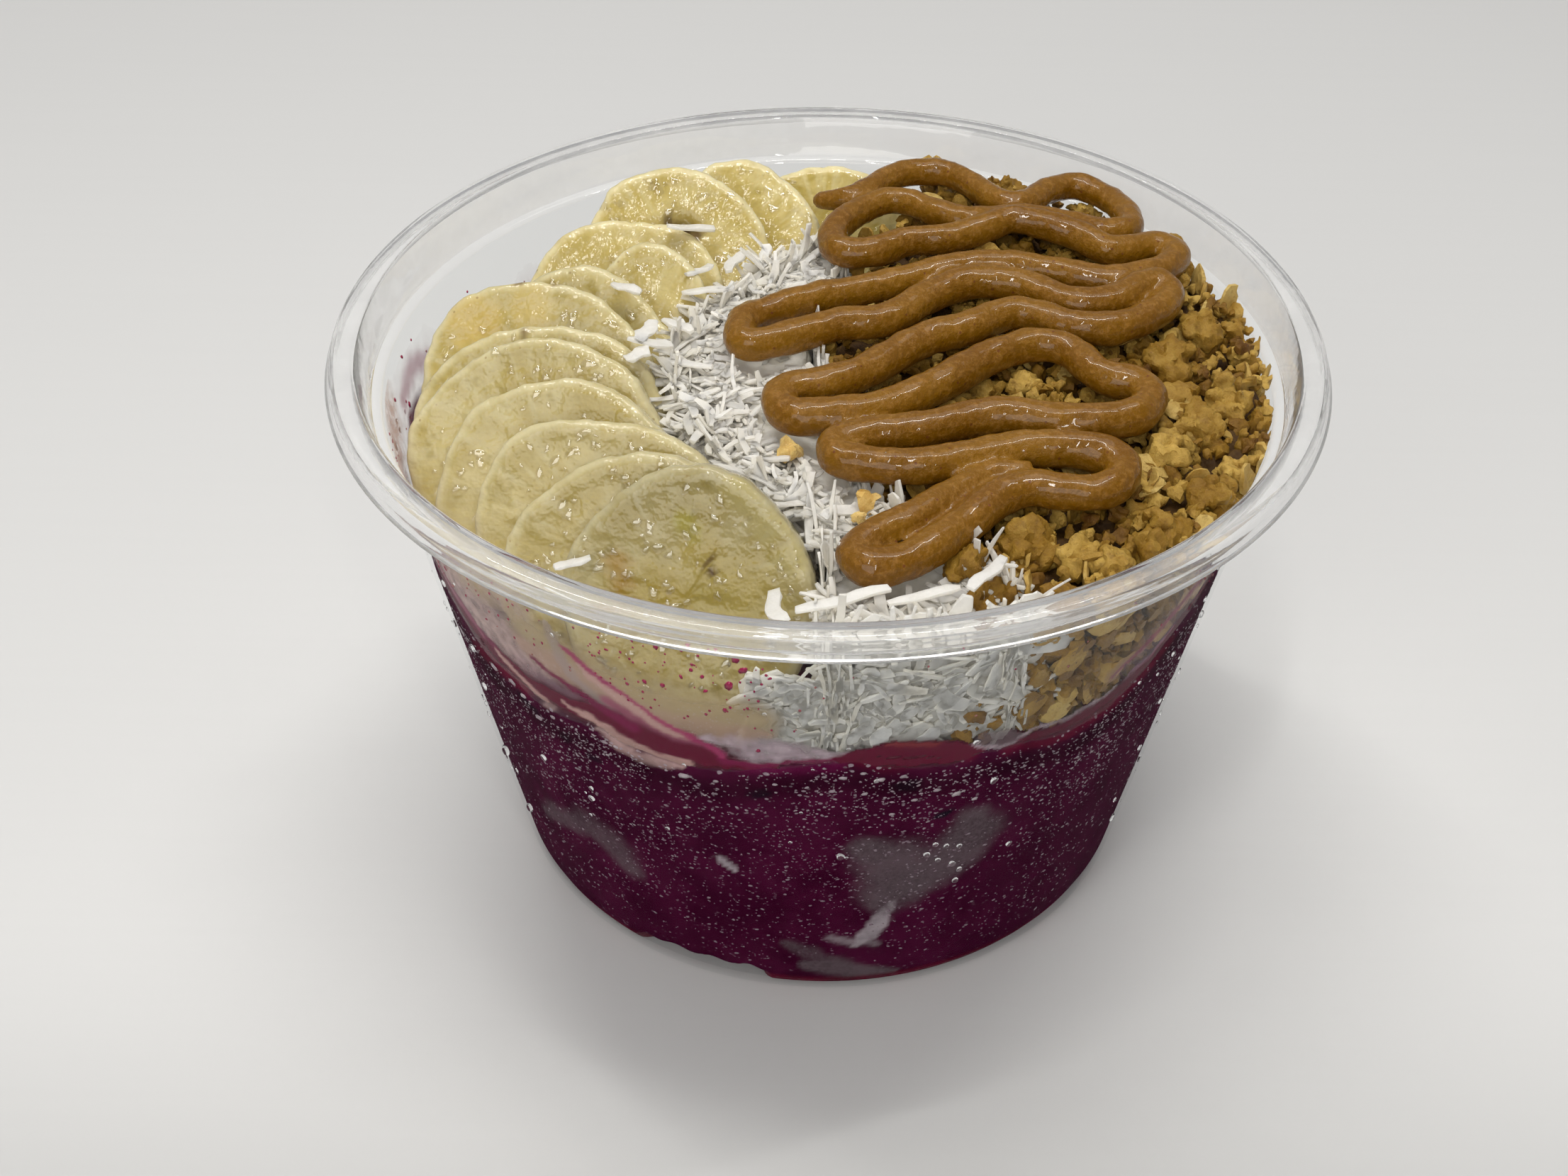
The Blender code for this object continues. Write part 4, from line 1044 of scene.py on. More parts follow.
def makeSlice(index, material):
    node = f"banana_slice_{index:02d}"
    half, edge, shares, arc = (sliceSet[key] for key in ("half", "edge", "shares", "arcRows"))
    # rows: the upper face, the rounded edge and the lower face
    rings = len(shares) * 2 + 8
    piece = turnedShell(f"bananaSlice{index:02d}", [(0, 0)] + [(10, k) for k in range(1, rings)] + [(0, rings)],
                        sliceSet["segments"])
    middle, axes, outlineAngles, outlineRadii = sliceFrame(node)
    points = corners(piece)
    row = np.rint(points[:, 2] / mm).astype(int)
    turn = np.arctan2(points[:, 1], points[:, 0])
    turn = np.where((row == 0) | (row == rings), 0.0, turn)
    outline = np.interp(turn, outlineAngles, outlineRadii) / mm
    dice = random.Random(100 + index)
    seed = dice.uniform(0, 40)
    outline = outline + np.array([layered(math.cos(t), math.sin(t), seed, sliceSet["outlineNoise"]) for t in turn])
    coreU, coreV = sliceSet["cores"].get(index, (dice.uniform(-0.08, 0.08), dice.uniform(-0.08, 0.08)))
    share, lift = np.zeros(len(points)), np.zeros(len(points))
    for k in range(rings + 1):
        here = row == k
        if k == 0 or k == rings:
            share[here], lift[here] = 0, half if k == 0 else -half
        elif k <= len(shares):
            share[here], lift[here] = shares[k - 1], half
        elif k <= len(shares) + arc:
            bend = math.pi * (k - len(shares) - 1) / (arc - 1)
            share[here] = 1 + edge * (math.sin(bend) - 1) / 14.0
            lift[here] = (half - edge) * math.copysign(1, math.cos(bend) + 1e-9) + edge * math.cos(bend)
            if abs(bend - math.pi / 2) < 0.1:
                lift[here] = 0
        else:
            share[here], lift[here] = shares[rings - 1 - k], -half
    radius = outline * share
    u, v = share * np.cos(turn), share * np.sin(turn)
    # the cut face dips in three soft furrows round the core
    du, dv = u - coreU, v - coreV
    fromCore = np.hypot(du, dv)
    aroundCore = np.arctan2(dv, du)
    furrow = np.exp(-((fromCore - 0.28) / 0.2) ** 2) * (0.5 + 0.5 * np.cos(3 * aroundCore + seed))
    dip = 0.28 * furrow + 0.16 * np.exp(-(fromCore / 0.12) ** 2)
    if index == sliceSet["split"]:
        pit = np.exp(-(((u - 0.05) / 0.2) ** 2 + ((v - 0.40) / 0.095) ** 2))
        dip = dip + 1.5 * pit - 0.45 * np.exp(-(((u - 0.05) / 0.3) ** 2 + ((v - 0.2) / 0.14) ** 2))
        ridges = np.cos(aroundCore * 34) * softStep(0.42, 0.55, fromCore) * (1 - softStep(0.85, 0.95, share))
        dip = dip + 0.22 * ridges * (v > 0.1)
    crown = 0.25 * np.exp(-((share - 0.9) / 0.06) ** 2)
    face = np.clip(lift / half, -1, 1)
    rough = np.array([layered(a, b, seed, sliceSet["faceNoise"]) for a, b in zip(u, v)])
    lift = lift + face * (crown - dip + rough)
    warp = 0.22 * np.cos(2 * turn + seed) * share ** 2
    local = np.stack([radius * np.cos(turn), radius * np.sin(turn), lift + warp], axis=1) * mm
    placed = local @ axes.T + middle
    # nothing passes the inner wall
    away = np.hypot(placed[:, 0], placed[:, 1])
    limit = (innerRadius(placed[:, 2] / mm) - sliceSet["wallGap"]) * mm
    placed[:, :2] *= np.minimum(1, limit / np.maximum(away, 1e-6))[:, None]
    setCorners(piece, placed)
    faceOutward(piece)
    onFace = softStep(0.3, 0.8, face)
    spot = np.stack([u, v, np.full(len(u), seed)], axis=1)
    layer = piece.data.attributes.new("spot", "FLOAT_VECTOR", "POINT")
    layer.data.foreach_set("vector", spot.astype(np.float32).ravel())
    stain, stained = np.zeros((len(u), 3)), np.zeros(len(u))
    for su, sv, size, colour, strength in sliceStains.get(index, []):
        bend = np.array([layered(a, b, seed + 3, [(9, 0.35)]) for a, b in zip(u, v)])
        mask = strength * (1 - softStep(0.45, 1.35, np.hypot(u - su, v - sv) / size + bend)) * onFace
        stain = np.where((mask > stained)[:, None], np.array(colour), stain)
        stained = np.maximum(stained, mask)
    paintPoints(piece, "stain", np.hstack([stain, np.ones((len(u), 1))]))
    paintPoints(piece, "stained", stained)
    paintPoints(piece, "onFace", onFace)
    # painted light and shade: the front slices are darkened, the back ones brightened
    shade = np.interp(index, *zip(*sliceSet["paintedSliceLight"]))
    paintPoints(piece, "shade", np.full(len(u), shade))
    finishPiece(piece, [node], material)


bananaFlesh = bananaMaterial()
for sliceIndex in range(1, sliceSet["count"] + 1):
    makeSlice(sliceIndex, bananaFlesh)

juiceSet = {"perSlice": 190, "seed": 3, "reach": 13.0, "proud": 0.30, "gloss": 0.13}


def juiceMaterial():
    paint = Paint("banana juice")
    gloss = paint.node("ShaderNodeBsdfGlossy", {"Color": (1.0, 1.0, 0.96), "Roughness": 0.04})
    return paint.finish(paint.blend(juiceSet["gloss"], paint.through(0.995, 0.985, 0.95), gloss))


def makeJuice():
    # low clear beads of juice on the cut faces
    dice = random.Random(juiceSet["seed"])
    shape = roundDrop(2)
    parts = []
    for index in range(1, sliceSet["count"] + 1):
        piece = bpy.data.objects[f"bananaSlice{index:02d}"]
        tree = BVHTree.FromPolygons((corners(piece) / mm).tolist(), triangles(piece).tolist())
        middle, axes, _, _ = sliceFrame(f"banana_slice_{index:02d}")
        for _ in range(juiceSet["perSlice"]):
            reach, turn = juiceSet["reach"] * math.sqrt(dice.random()), dice.uniform(0, 2 * math.pi)
            size = 0.22 + 0.5 * dice.random() ** 2
            stretch, spin = dice.uniform(0.8, 1.7), dice.uniform(0, 6.3)
            flat = (reach * math.cos(turn), reach * math.sin(turn), 12.0)
            if noise.noise(Vector((flat[0], flat[1], index * 9.0)) / 4) < -0.05:
                continue
            spot, normal, _, _ = tree.ray_cast(Vector(middle / mm + axes @ np.array(flat)), Vector(-axes[:, 2]))
            if spot is None or normal.dot(Vector(axes[:, 2])) < 0.8:
                continue
            points = shape[0] * np.array((size * stretch, size, size * juiceSet["proud"]))
            points[:, 0] += 0.35 * size * np.sin(points[:, 1] / size * 2.5 + index)
            turned = np.array((normal.to_track_quat("Z", "Y") @ Euler((0, 0, spin)).to_quaternion()).to_matrix())
            parts.append(((points @ turned.T + np.array(spot)) * mm, shape[1]))
    juice = joinedMesh("bananaJuice", parts, np.ones(len(parts)))
    finishPiece(juice, (), juiceMaterial())


makeJuice()


# the bead of peanut butter: its half width near and far, and the places that its middle runs over
ropeSet = {
    "near": 2.2, "far": 1.78, "tip": 0.4, "taper": 16.0, "start": 5.0, "voxel": 0.42, "pieces": 6,
    "press": 0.86, "clear": 9.0, "level": 66.0, "swell": [(0.16, 1.5, 0.07), (0.45, 4.5, 0.04)],
    "route": [
        (-2, 35.5), (2.5, 34), (5.5, 37.3), (9, 41.3), (13.5, 42.5), (17, 40.2), (22, 33.5),
        (25, 33.8), (28, 38), (32, 40.3), (35.8, 37), (37.8, 32), (37.3, 27.8), (33.5, 26.5),
        (30.5, 28), (24.5, 29.5), (18.5, 28.5), (14, 30), (10, 33), (7, 33.3), (3, 29.5),
        (0.6, 25), (1.2, 20.5), (5, 20), (9.5, 22.5), (15, 23.5), (19, 25), (23.5, 27),
        (30.5, 24.5), (34.5, 21.7), (38, 22.8), (41, 24), (42.8, 21.5), (40, 17), (33.5, 14),
        (28, 15.5), (21, 17), (15, 16), (6.5, 12), (-1, 9.5), (-8.5, 5.5), (-10.3, 2.5),
        (-9.3, -1), (-4, 0.8), (1, 3.3), (7, 4.5), (12, 9.5), (17.5, 13), (23.5, 12),
        (29, 8.5), (34, 9), (39, 13), (41, 11.5), (39, 7), (34.5, 3.5), (29, 3), (22.5, 6),
        (16, 2.2), (11.5, 0.2), (4.5, -6.5), (1, -8.7), (-4.5, -10.7), (-5.3, -13.5),
        (-3.5, -15.8), (1, -15.6), (5.5, -14.5), (11, -11), (18, -4.5), (23.5, -1), (28, -2),
        (31.5, -7.3), (35.5, -8.7), (36.6, -11.5), (34, -15.3), (27, -16.5), (19, -15.5),
        (11.5, -18), (5, -19.5), (1.5, -21), (1.5, -23.7), (6, -25), (11, -25), (16, -23.5),
        (20.5, -22), (26, -21.5), (31.5, -22.6), (32.4, -26), (30, -28.5), (26.5, -29),
        (22.5, -28.5), (18.5, -30.5), (13.5, -36.5), (9, -40.5), (5, -42), (3.2, -40), (5, -37.5),
        (10, -33.5), (14, -29.5), (18, -26), (22.5, -26)],
}


def heapLevel(x, y):
    out = (x * x + y * y) / 52.0 ** 2
    return ropeSet["level"] - 2.6 * out * out + 0.022 * (x + y)


def smoothRoute(points, pieces):
    points = [Vector(p) for p in points]
    ends = [2 * points[0] - points[1]] + points + [2 * points[-1] - points[-2]]
    curve = []
    for a, b, c, d in zip(ends, ends[1:], ends[2:], ends[3:]):
        for step in range(pieces):
            t = step / pieces
            curve.append(0.5 * (2 * b + (c - a) * t + (2 * a - 5 * b + 4 * c - d) * t * t
                                + (3 * b - a - 3 * c + d) * t ** 3))
    curve.append(points[-1])
    return curve


def laidBead(pieces):
    flat = smoothRoute(ropeSet["route"], pieces)
    along = [0.0]
    for first, second in zip(flat, flat[1:]):
        along.append(along[-1] + (second - first).length)
    total = along[-1]
    radii = []
    for spot, s in zip(flat, along):
        share = min(1.0, max(0.0, (spot.y + 10.0) / 50.0))
        radius = ropeSet["near"] + (ropeSet["far"] - ropeSet["near"]) * share
        if total - s < ropeSet["taper"]:
            radius *= ropeSet["tip"] + (1 - ropeSet["tip"]) * ((total - s) / ropeSet["taper"]) ** 0.7
        if s < ropeSet["start"]:
            radius *= 0.35 + 0.65 * (s / ropeSet["start"]) ** 0.6
        radii.append(radius)
    rest = [heapLevel(*p) + 0.7 + 0.95 * r for p, r in zip(flat, radii)]
    height = list(rest)
    for late, spot in enumerate(flat):
        for early in range(late):
            if along[late] - along[early] < ropeSet["clear"]:
                break
            apart = (spot - flat[early]).length
            touch = ropeSet["press"] * (radii[late] + radii[early])
            if apart < touch:
                height[late] = max(height[late], height[early] + 0.85 * math.sqrt(touch ** 2 - apart ** 2))
    for _ in range(8 * pieces):
        eased = [(a + 2 * b + c) / 4 for a, b, c in zip(height, height[1:], height[2:])]
        height = [height[0]] + [max(r, e) for r, e in zip(rest[1:-1], eased)] + [height[-1]]
    swell = [sum((share * noise.noise(Vector((s * scale, row, 2.5))) for scale, row, share in ropeSet["swell"]), 1)
             for s in along]
    return [(p.x, p.y, z, r * k) for p, z, r, k in zip(flat, height, radii, swell)]


def peanutMaterial():
    paint = Paint("peanut butter")
    where = paint.place()
    tone = paint.noise(where, 9.0, 3.0, 0.6).ramp(0.3, 0.7)
    body = paint.mix(tone, (0.170, 0.069, 0.0015), (0.222, 0.100, 0.004))
    grain = paint.noise(where, 0.75, 3.0, 0.7)
    body = paint.mix(grain.ramp(0.45, 0.7) * 0.4, body, (0.40, 0.20, 0.045))
    specks = (0.16 - paint.cells(where, 1.25)).ramp(0.0, 0.05) * paint.noise(where, 3.0, 1.0).ramp(0.45, 0.6)
    body = paint.mix(specks * 0.75, body, (0.13, 0.035, 0.012))
    lumps = paint.noise(where, 1.3, 2.0, 0.55)
    relief = paint.bump(grain, 0.22, 0.9)
    relief = paint.bump(lumps, 0.30, 0.6, relief)
    return paint.finish(paint.principled(
        Base_Color=body, Roughness=0.26 + grain * 0.2, Normal=relief, Subsurface_Weight=0.1,
        Subsurface_Radius=(1.0, 0.5, 0.2), Subsurface_Scale=0.0012, Coat_Weight=0.42, Coat_Roughness=0.04,
        Specular_IOR_Level=0.15))


def makePeanutButter():
    bead = laidBead(ropeSet["pieces"])
    curve = bpy.data.curves.new("bead", "CURVE")
    curve.dimensions = "3D"
    curve.bevel_depth = mm
    curve.bevel_resolution = 4
    curve.use_fill_caps = True
    spline = curve.splines.new("POLY")
    spline.points.add(len(bead) - 1)
    for point, (x, y, z, radius) in zip(spline.points, bead):
        point.co = (x * mm, y * mm, z * mm, 1)
        point.radius = radius
    guide = bpy.data.objects.new("bead", curve)
    bpy.context.collection.objects.link(guide)
    activate(guide)
    bpy.ops.object.convert(target="MESH")
    rope = bpy.context.object
    rope.name = rope.data.name = "peanutButter"
    addRemesh(rope, "blend", ropeSet["voxel"])
    soften = rope.modifiers.new("soften", "SMOOTH")
    soften.factor = 0.5
    soften.iterations = 3
    applyAll(rope)
    setCorners(rope, pushedOut(rope, lambda p: 0.20 * wobble(p, 3.2, 2.0) + 0.10 * wobble(p, 1.3, 9.0)))
    finishPiece(rope, ["peanut_butter"], peanutMaterial())
    return bead


beadPoints = np.array(makePeanutButter())


# what lies loose on the heaps is scattered with the next few functions
def surfacePlaces(node, count, dice, keep):
    # random places on a solid's surface, with their outward directions
    piece = frame["nodes"][node]
    points, faces = corners(piece), triangles(piece)
    a, b, c = (points[faces[:, k]] for k in range(3))
    cross = np.cross(b - a, c - a)
    area = np.linalg.norm(cross, axis=1)
    normals = cross / np.maximum(area[:, None], 1e-12)
    weight = area * keep((a + b + c) / 3, normals)
    picks = dice.choice(len(faces), count, p=weight / weight.sum())
    s, t = dice.random(count), dice.random(count)
    fold = s + t > 1
    s, t = np.where(fold, 1 - s, s), np.where(fold, 1 - t, t)
    spots = a[picks] + (b - a)[picks] * s[:, None] + (c - a)[picks] * t[:, None]
    return spots, normals[picks]


def axesFrom(normals, dice, lean):
    # a random turn about each direction, tipped by up to lean radians
    count = len(normals)
    loose = dice.normal(size=(count, 3))
    normals = normals + np.tan(lean) * dice.uniform(-1, 1, (count, 3))
    normals /= np.linalg.norm(normals, axis=1)[:, None]
    side = np.cross(normals, loose)
    side /= np.linalg.norm(side, axis=1)[:, None]
    return np.stack([side, np.cross(normals, side), normals], axis=2)


def keepInTub(points, margin=0.12):
    away = np.hypot(points[:, 0], points[:, 1])
    limit = (innerRadius(np.minimum(points[:, 2] / mm, 66)) - margin) * mm
    squeeze = np.minimum(1, limit / np.maximum(away, 1e-6))
    points = points.copy()
    points[:, :2] *= squeeze[:, None]
    return points


def joinedCopies(name, shapes, kinds, spots, axes, scales, tones):
    # each copy has its own corners in one mesh
    parts = []
    for kind, spot, turned, scale in zip(kinds, spots, axes, scales):
        points, faces = shapes[kind]
        parts.append((keepInTub((points * scale) @ turned.T + spot), faces))
    return joinedMesh(name, parts, tones)


def coreOf(node, name, shrink, voxel, bumpSize, bumpDepth, material):
    # a smaller body under the loose things
    mesh = frame["nodes"][node].data.copy()
    piece = bpy.data.objects.new(name, mesh)
    mesh.name = name
    bpy.context.collection.objects.link(piece)
    mesh.materials.clear()
    editWhole(piece, bpy.ops.mesh.remove_doubles, threshold=0.00001)
    addRemesh(piece, "even", voxel)
    shrinkBy = piece.modifiers.new("shrink", "DISPLACE")
    shrinkBy.strength = -shrink * mm
    shrinkBy.mid_level = 0.0
    addRemesh(piece, "again", voxel)
    applyAll(piece)
    setCorners(piece, keepInTub(pushedOut(
        piece, lambda p: bumpDepth * wobble(p, bumpSize, 4.0) + 0.4 * bumpDepth * wobble(p, bumpSize / 3, 6.0))))
    finishPiece(piece, (), material)
    return piece


coconutSet = {"shreds": 3560, "fallen": 250, "seed": 21, "coreShrink": 1.3, "wideShare": 0.3,
              "lengths": [3.4, 6.2, 9.5], "lengthShares": [0.34, 0.43, 0.23], "tone": 0.7,
              "fallenTurns": (-9.5, 17), "fallenAbove": (3.2, 13.5), "beadGap": 0.2}


def coconutMaterial():
    paint = Paint("coconut")
    where = paint.place()
    tone = paint.attribute("tone")
    body = paint.mix(tone, (0.80, 0.755, 0.64), (1.0, 0.965, 0.89))
    cloudy = paint.noise(where, 1.6, 3.0, 0.6)
    body = paint.mix(cloudy.ramp(0.4, 0.7) * 0.4, body, (0.72, 0.69, 0.60))
    fibre = paint.noise(where, 0.35, 2.0)
    relief = paint.bump(fibre, 0.08, 0.4)
    return paint.finish(paint.principled(
        Base_Color=body, Roughness=0.38, Normal=relief, Subsurface_Weight=0.7,
        Subsurface_Radius=(1.0, 0.97, 0.9), Subsurface_Scale=0.003, Specular_IOR_Level=0.4))


def shredShape():
    # a bar along x, one unit long and wide, in even steps
    deselectAll()
    bpy.ops.mesh.primitive_cube_add(size=1, location=(-0.5 + 1 / 12, 0, 0))
    bar = bpy.context.object
    bar.scale = (1 / 6, 1, 1)
    settle(bar)
    bpy.ops.object.mode_set(mode="EDIT")
    bpy.ops.mesh.select_all(action="DESELECT")
    bpy.ops.mesh.select_mode(type="FACE")
    bm = bmesh.from_edit_mesh(bar.data)
    bm.faces.ensure_lookup_table()
    for face in bm.faces:
        face.select = face.normal.x > 0.9
    bm.select_flush_mode()
    bmesh.update_edit_mesh(bar.data)
    for _ in range(5):
        bpy.ops.mesh.extrude_region_move(TRANSFORM_OT_translate={"value": (1 / 6, 0, 0)})
    bpy.ops.object.mode_set(mode="OBJECT")
    return shapeOf(bar)


def curledShred(shape, length, width, thick, curl, twist, dice):
    points = shape[0].copy()
    x = points[:, 0]
    taper = 1 - 0.55 * np.abs(2 * x) ** 3 * dice.uniform(0.3, 1)
    wavy = 0.12 * np.sin(x * dice.uniform(5, 11) + dice.uniform(0, 6))
    y = (points[:, 1] * taper + wavy) * width
    z = points[:, 2] * thick * (0.7 + 0.3 * taper)
    angle = x * twist
    y, z = y * np.cos(angle) - z * np.sin(angle), y * np.sin(angle) + z * np.cos(angle)
    bend = x * curl
    radius = length / max(abs(curl), 1e-3) * np.sign(curl)
    points = np.stack([(radius - y) * np.sin(bend) if abs(curl) > 0.05 else x * length,
                       radius - (radius - y) * np.cos(bend) if abs(curl) > 0.05 else y, z], axis=1)
    points[:, 2] += 0.10 * length * (x ** 2 - 0.08) * dice.uniform(-1.2, 1.6)
    return points + dice.normal(scale=0.05, size=points.shape)


def nearBead(x, y):
    away = np.hypot(beadPoints[:, 0] - x, beadPoints[:, 1] - y)
    best = int(np.argmin(away - beadPoints[:, 3]))
    return away[best] - beadPoints[best, 3], beadPoints[best, 2] - beadPoints[best, 3]


def placeShreds(name, rows, shape, dice):
    # rows: place, axes, length, width, thickness, curl, tone
    parts = []
    for spot, axes, length, width, thick, curl, _ in rows:
        points = curledShred(shape, length, width, thick, curl, dice.uniform(-0.5, 0.5), dice) * mm
        parts.append((keepInTub(points @ axes.T + spot), shape[1]))
    return joinedMesh(name, parts, [row[-1] for row in rows])


looseShreds = [
    # x, y, z, heading, length, width
    (-21.1, -1.2, 70.3, 70, 5.0, 1.8), (-22.0, -4.9, 69.4, 20, 3.0, 1.9), (-20.5, -3.0, 69.8, 10, 5.5, 1.7),
    (-26.9, -37.4, 63.5, 15, 4.0, 1.5), (-5.1, -46.0, 64.5, 100, 7.0, 1.7), (-24.3, 9.7, 69.6, -20, 4.0, 1.5),
    (-17.3, 24.5, 69.6, 12, 6.0, 1.5), (-11.8, 20.1, 67.4, 65, 4.5, 1.5), (-14.6, 12.8, 67.6, -10, 6.5, 1.9),
    (-15.9, 16.8, 68.0, 40, 4.0, 1.4), (-17.9, 5.0, 67.4, -35, 4.5, 1.4), (-8.0, 21.5, 67.4, 80, 4.0, 1.3),
    (2.0, -46.6, 66.2, 12, 10.0, 1.5), (10.5, -46.0, 66.6, 20, 8.0, 1.4), (17.0, -43.5, 67.6, 55, 7.0, 1.4),
]


def isAtWall(places, normals):
    away = np.hypot(places[:, 0], places[:, 1]) / mm
    return (away > innerRadius(places[:, 2] / mm) - 2.5) & (np.abs(normals[:, 2]) < 0.6)


def makeCoconut():
    dice = np.random.default_rng(coconutSet["seed"])
    material = coconutMaterial()

    def wanted(places, normals):
        atWall = isAtWall(places, normals)
        return (normals[:, 2] > 0.35) * 1.0 + atWall * 1.3 + ((np.abs(normals[:, 2]) < 0.35) & ~atWall) * 0.25

    spots, normals = surfacePlaces("coconut", coconutSet["shreds"], dice, wanted)
    onWall = np.abs(normals[:, 2]) < 0.5
    axes = axesFrom(normals, dice, 0.45)
    flatAxes = axesFrom(normals, dice, 0.12)
    rows = []
    shape = shredShape()
    for index in range(len(spots)):
        long = dice.choice(coconutSet["lengths"], p=coconutSet["lengthShares"]) * dice.uniform(0.75, 1.3)
        front = softStep(-20, -45, spots[index][1] / mm)
        wall = onWall[index]
        depth = dice.uniform(0.1, 2.3) if wall else dice.uniform(-0.5, 1.5)
        spot = spots[index] - normals[index] * depth * mm
        if wall:
            # the edges of the heap straggle along the wall
            drift = math.radians(3.2 * wobble(spot, 6, 2.0) + dice.uniform(-1.2, 1.2))
            spot[:2] = (spot[0] * math.cos(drift) - spot[1] * math.sin(drift),
                        spot[0] * math.sin(drift) + spot[1] * math.cos(drift))
            spot[2] += (1.6 * wobble(spot, 4, 7.0) + 0.4) * mm
        if not wall:
            gap, under = nearBead(spot[0] / mm, spot[1] / mm)
            if gap < coconutSet["beadGap"]:
                continue
            if gap < 3.5:
                long = min(long, 2.4 + gap)
            if gap < 0.8:
                spot[2] = min(spot[2], (under - 0.4) * mm)
        lies = flatAxes[index] if wall or depth > 0.9 or long < 3.4 else axes[index]
        if wall and dice.random() < coconutSet["wideShare"]:
            wide = dice.uniform(1.8, 3.2)
        else:
            wide = 0.4 + 0.95 * dice.random() ** 1.8
        rows.append((spot, lies, long * (1 + 0.25 * front), wide, dice.uniform(0.2, 0.38),
                     dice.uniform(-1.8, 1.8), dice.uniform(0.0, 1.0)))
    for x, y, z, heading, length, width in looseShreds:
        tip = Euler((dice.uniform(-0.35, 0.1), dice.uniform(-0.3, 0.3), math.radians(heading)))
        rows.append((np.array((x, y, z)) * mm, np.array(tip.to_matrix()), length, width, 0.4,
                     dice.uniform(-0.7, 0.7), 0.9))
    # shreds that slid down behind the wall
    turns = dice.uniform(*coconutSet["fallenTurns"], coconutSet["fallen"])
    lows = shoreLevel(turns) + dice.uniform(*coconutSet["fallenAbove"], len(turns))
    for turn, low in zip(turns, lows):
        spot, wallAxes = wallPlace(turn, low, -dice.uniform(0.4, 2.0))
        spin = dice.uniform(0, 6.3)
        across, rise, outward = wallAxes.T
        along = across * math.cos(spin) + rise * math.sin(spin)
        turned = np.stack([along, np.cross(outward, along), outward], axis=1)
        rows.append((spot, turned, dice.uniform(2.5, 6.0), dice.uniform(0.5, 2.2), 0.3, dice.uniform(-1, 1),
                     dice.uniform(0.1, 1.0)))
    shreds = placeShreds("coconutShreds", rows, shape, dice)
    finishPiece(shreds, ["coconut"], material, 40)
    core = coreOf("coconut", "coconutCore", coconutSet["coreShrink"], 0.9, 2.6, 0.7, material)
    paintPoints(core, "tone", np.full(len(core.data.vertices), coconutSet["tone"]))


makeCoconut()


granolaSet = {
    "seed": 33, "clusterKinds": 10, "smallKinds": 8, "coreShrink": 1.7, "voxel": 0.3,
    # lumps in one, their reach and the triangles left in it
    "cluster": ((18, 30), 3.6, 860), "lump": ((7, 12), 2.0, 84),
    # count, smallest, largest, how deep by size, lean, how deep at random, room between
    "clusters": (185, 2.3, 4.4, 0.5, 0.6, 0.5, 0.72),
    "lumps": (1050, 1.0, 2.4, 0.2, 0.9, 0.9, 0.5),
    "flakes": (230, 1.2, 2.1, 0.1, 0.8, 0.9, 0.0),
    "clusterReach": 4.3, "lumpReach": 2.2,
    # lumps below that height are painted darker by the share given as shade, as painted shade
    "wallLumps": 150, "wallTurns": (19, 62), "wallAbove": (0.8, 8.0), "paintedShadeBelow": 60, "shade": 0.55,
    # x, y, z, size of the clusters that stand out
    "heroes": [(21.7, -34.7, 64.8, 5.4), (15.2, -38.4, 64.6, 4.2), (17.8, -43.0, 63.6, 4.0), (27.6, -37.0, 64.4, 4.0),
               (31.2, -38.2, 64.2, 4.2), (24.2, -44.0, 63.4, 4.4), (42.5, -24.6, 64.6, 5.0), (38.5, -17.1, 65.4, 4.8),
               (42.6, -12.0, 65.4, 4.6), (40.2, -0.1, 66.0, 5.0), (44.6, 8.0, 65.6, 4.8), (46.6, -6.0, 65.0, 4.4),
               (16.5, 12.1, 65.6, 2.6), (24.1, 25.6, 65.6, 3.0), (29.4, 25.0, 65.6, 2.8), (23.3, -4.8, 65.4, 3.6),
               (42.9, 18.8, 66.4, 2.6), (36.8, -30.6, 64.4, 4.4), (34.5, -34.0, 64.2, 4.0), (43.0, 28.0, 65.4, 3.6)],
    # x, y, z, size, kind, tone
    "crumbs": [(-4.2, -19.5, 66.6, 1.05, 1, 0.9), (4.5, -28.4, 65.9, 1.0, 3, 0.6),
               (3.8, -31.2, 65.8, 0.65, 5, 0.9), (8.4, -30.9, 65.9, 0.7, 2, 0.7)],
    # dark, middle, light, gloss
    "coats": {"granola": ((0.105, 0.040, 0.003), (0.28, 0.150, 0.014), (0.54, 0.35, 0.078), 0.12),
              "rolled oats": ((0.20, 0.092, 0.009), (0.40, 0.235, 0.040), (0.60, 0.43, 0.14), 0.08),
              "toasted nut": ((0.42, 0.20, 0.03), (0.66, 0.40, 0.10), (0.80, 0.60, 0.24), 0.4),
              "granola in the shade": ((0.04, 0.016, 0.002), (0.12, 0.058, 0.006), (0.24, 0.13, 0.02), 0.0)}}


def granolaMaterial(name):
    dark, middle, light, glaze = granolaSet["coats"][name]
    paint = Paint(name)
    where = paint.place()
    tone = paint.attribute("tone")
    patches = paint.noise(where, 2.4, 4.0, 0.65)
    value = (tone * 0.55 + patches * 0.75) - 0.15
    body = paint.node("ShaderNodeValToRGB", {0: value}, stops=[(0.12, dark), (0.48, middle), (0.85, light)])
    toast = paint.noise(where, 1.1, 3.0, 0.6).ramp(0.52, 0.72)
    body = paint.mix(toast * 0.45, body, dark)
    bran = (0.2 - paint.cells(where, 0.9)).ramp(0.0, 0.08)
    body = paint.mix(bran * 0.25, body, (0.16, 0.065, 0.01))
    rough = paint.noise(where, 0.45, 4.0, 0.75)
    relief = paint.bump(rough, 0.22, 0.9)
    relief = paint.bump(patches, 0.5, 0.6, relief)
    return paint.finish(paint.principled(
        Base_Color=body, Roughness=0.55 + rough * 0.25 - glaze, Normal=relief, Specular_IOR_Level=0.3,
        Subsurface_Weight=0.08, Subsurface_Radius=(1.0, 0.6, 0.3), Subsurface_Scale=0.0012))


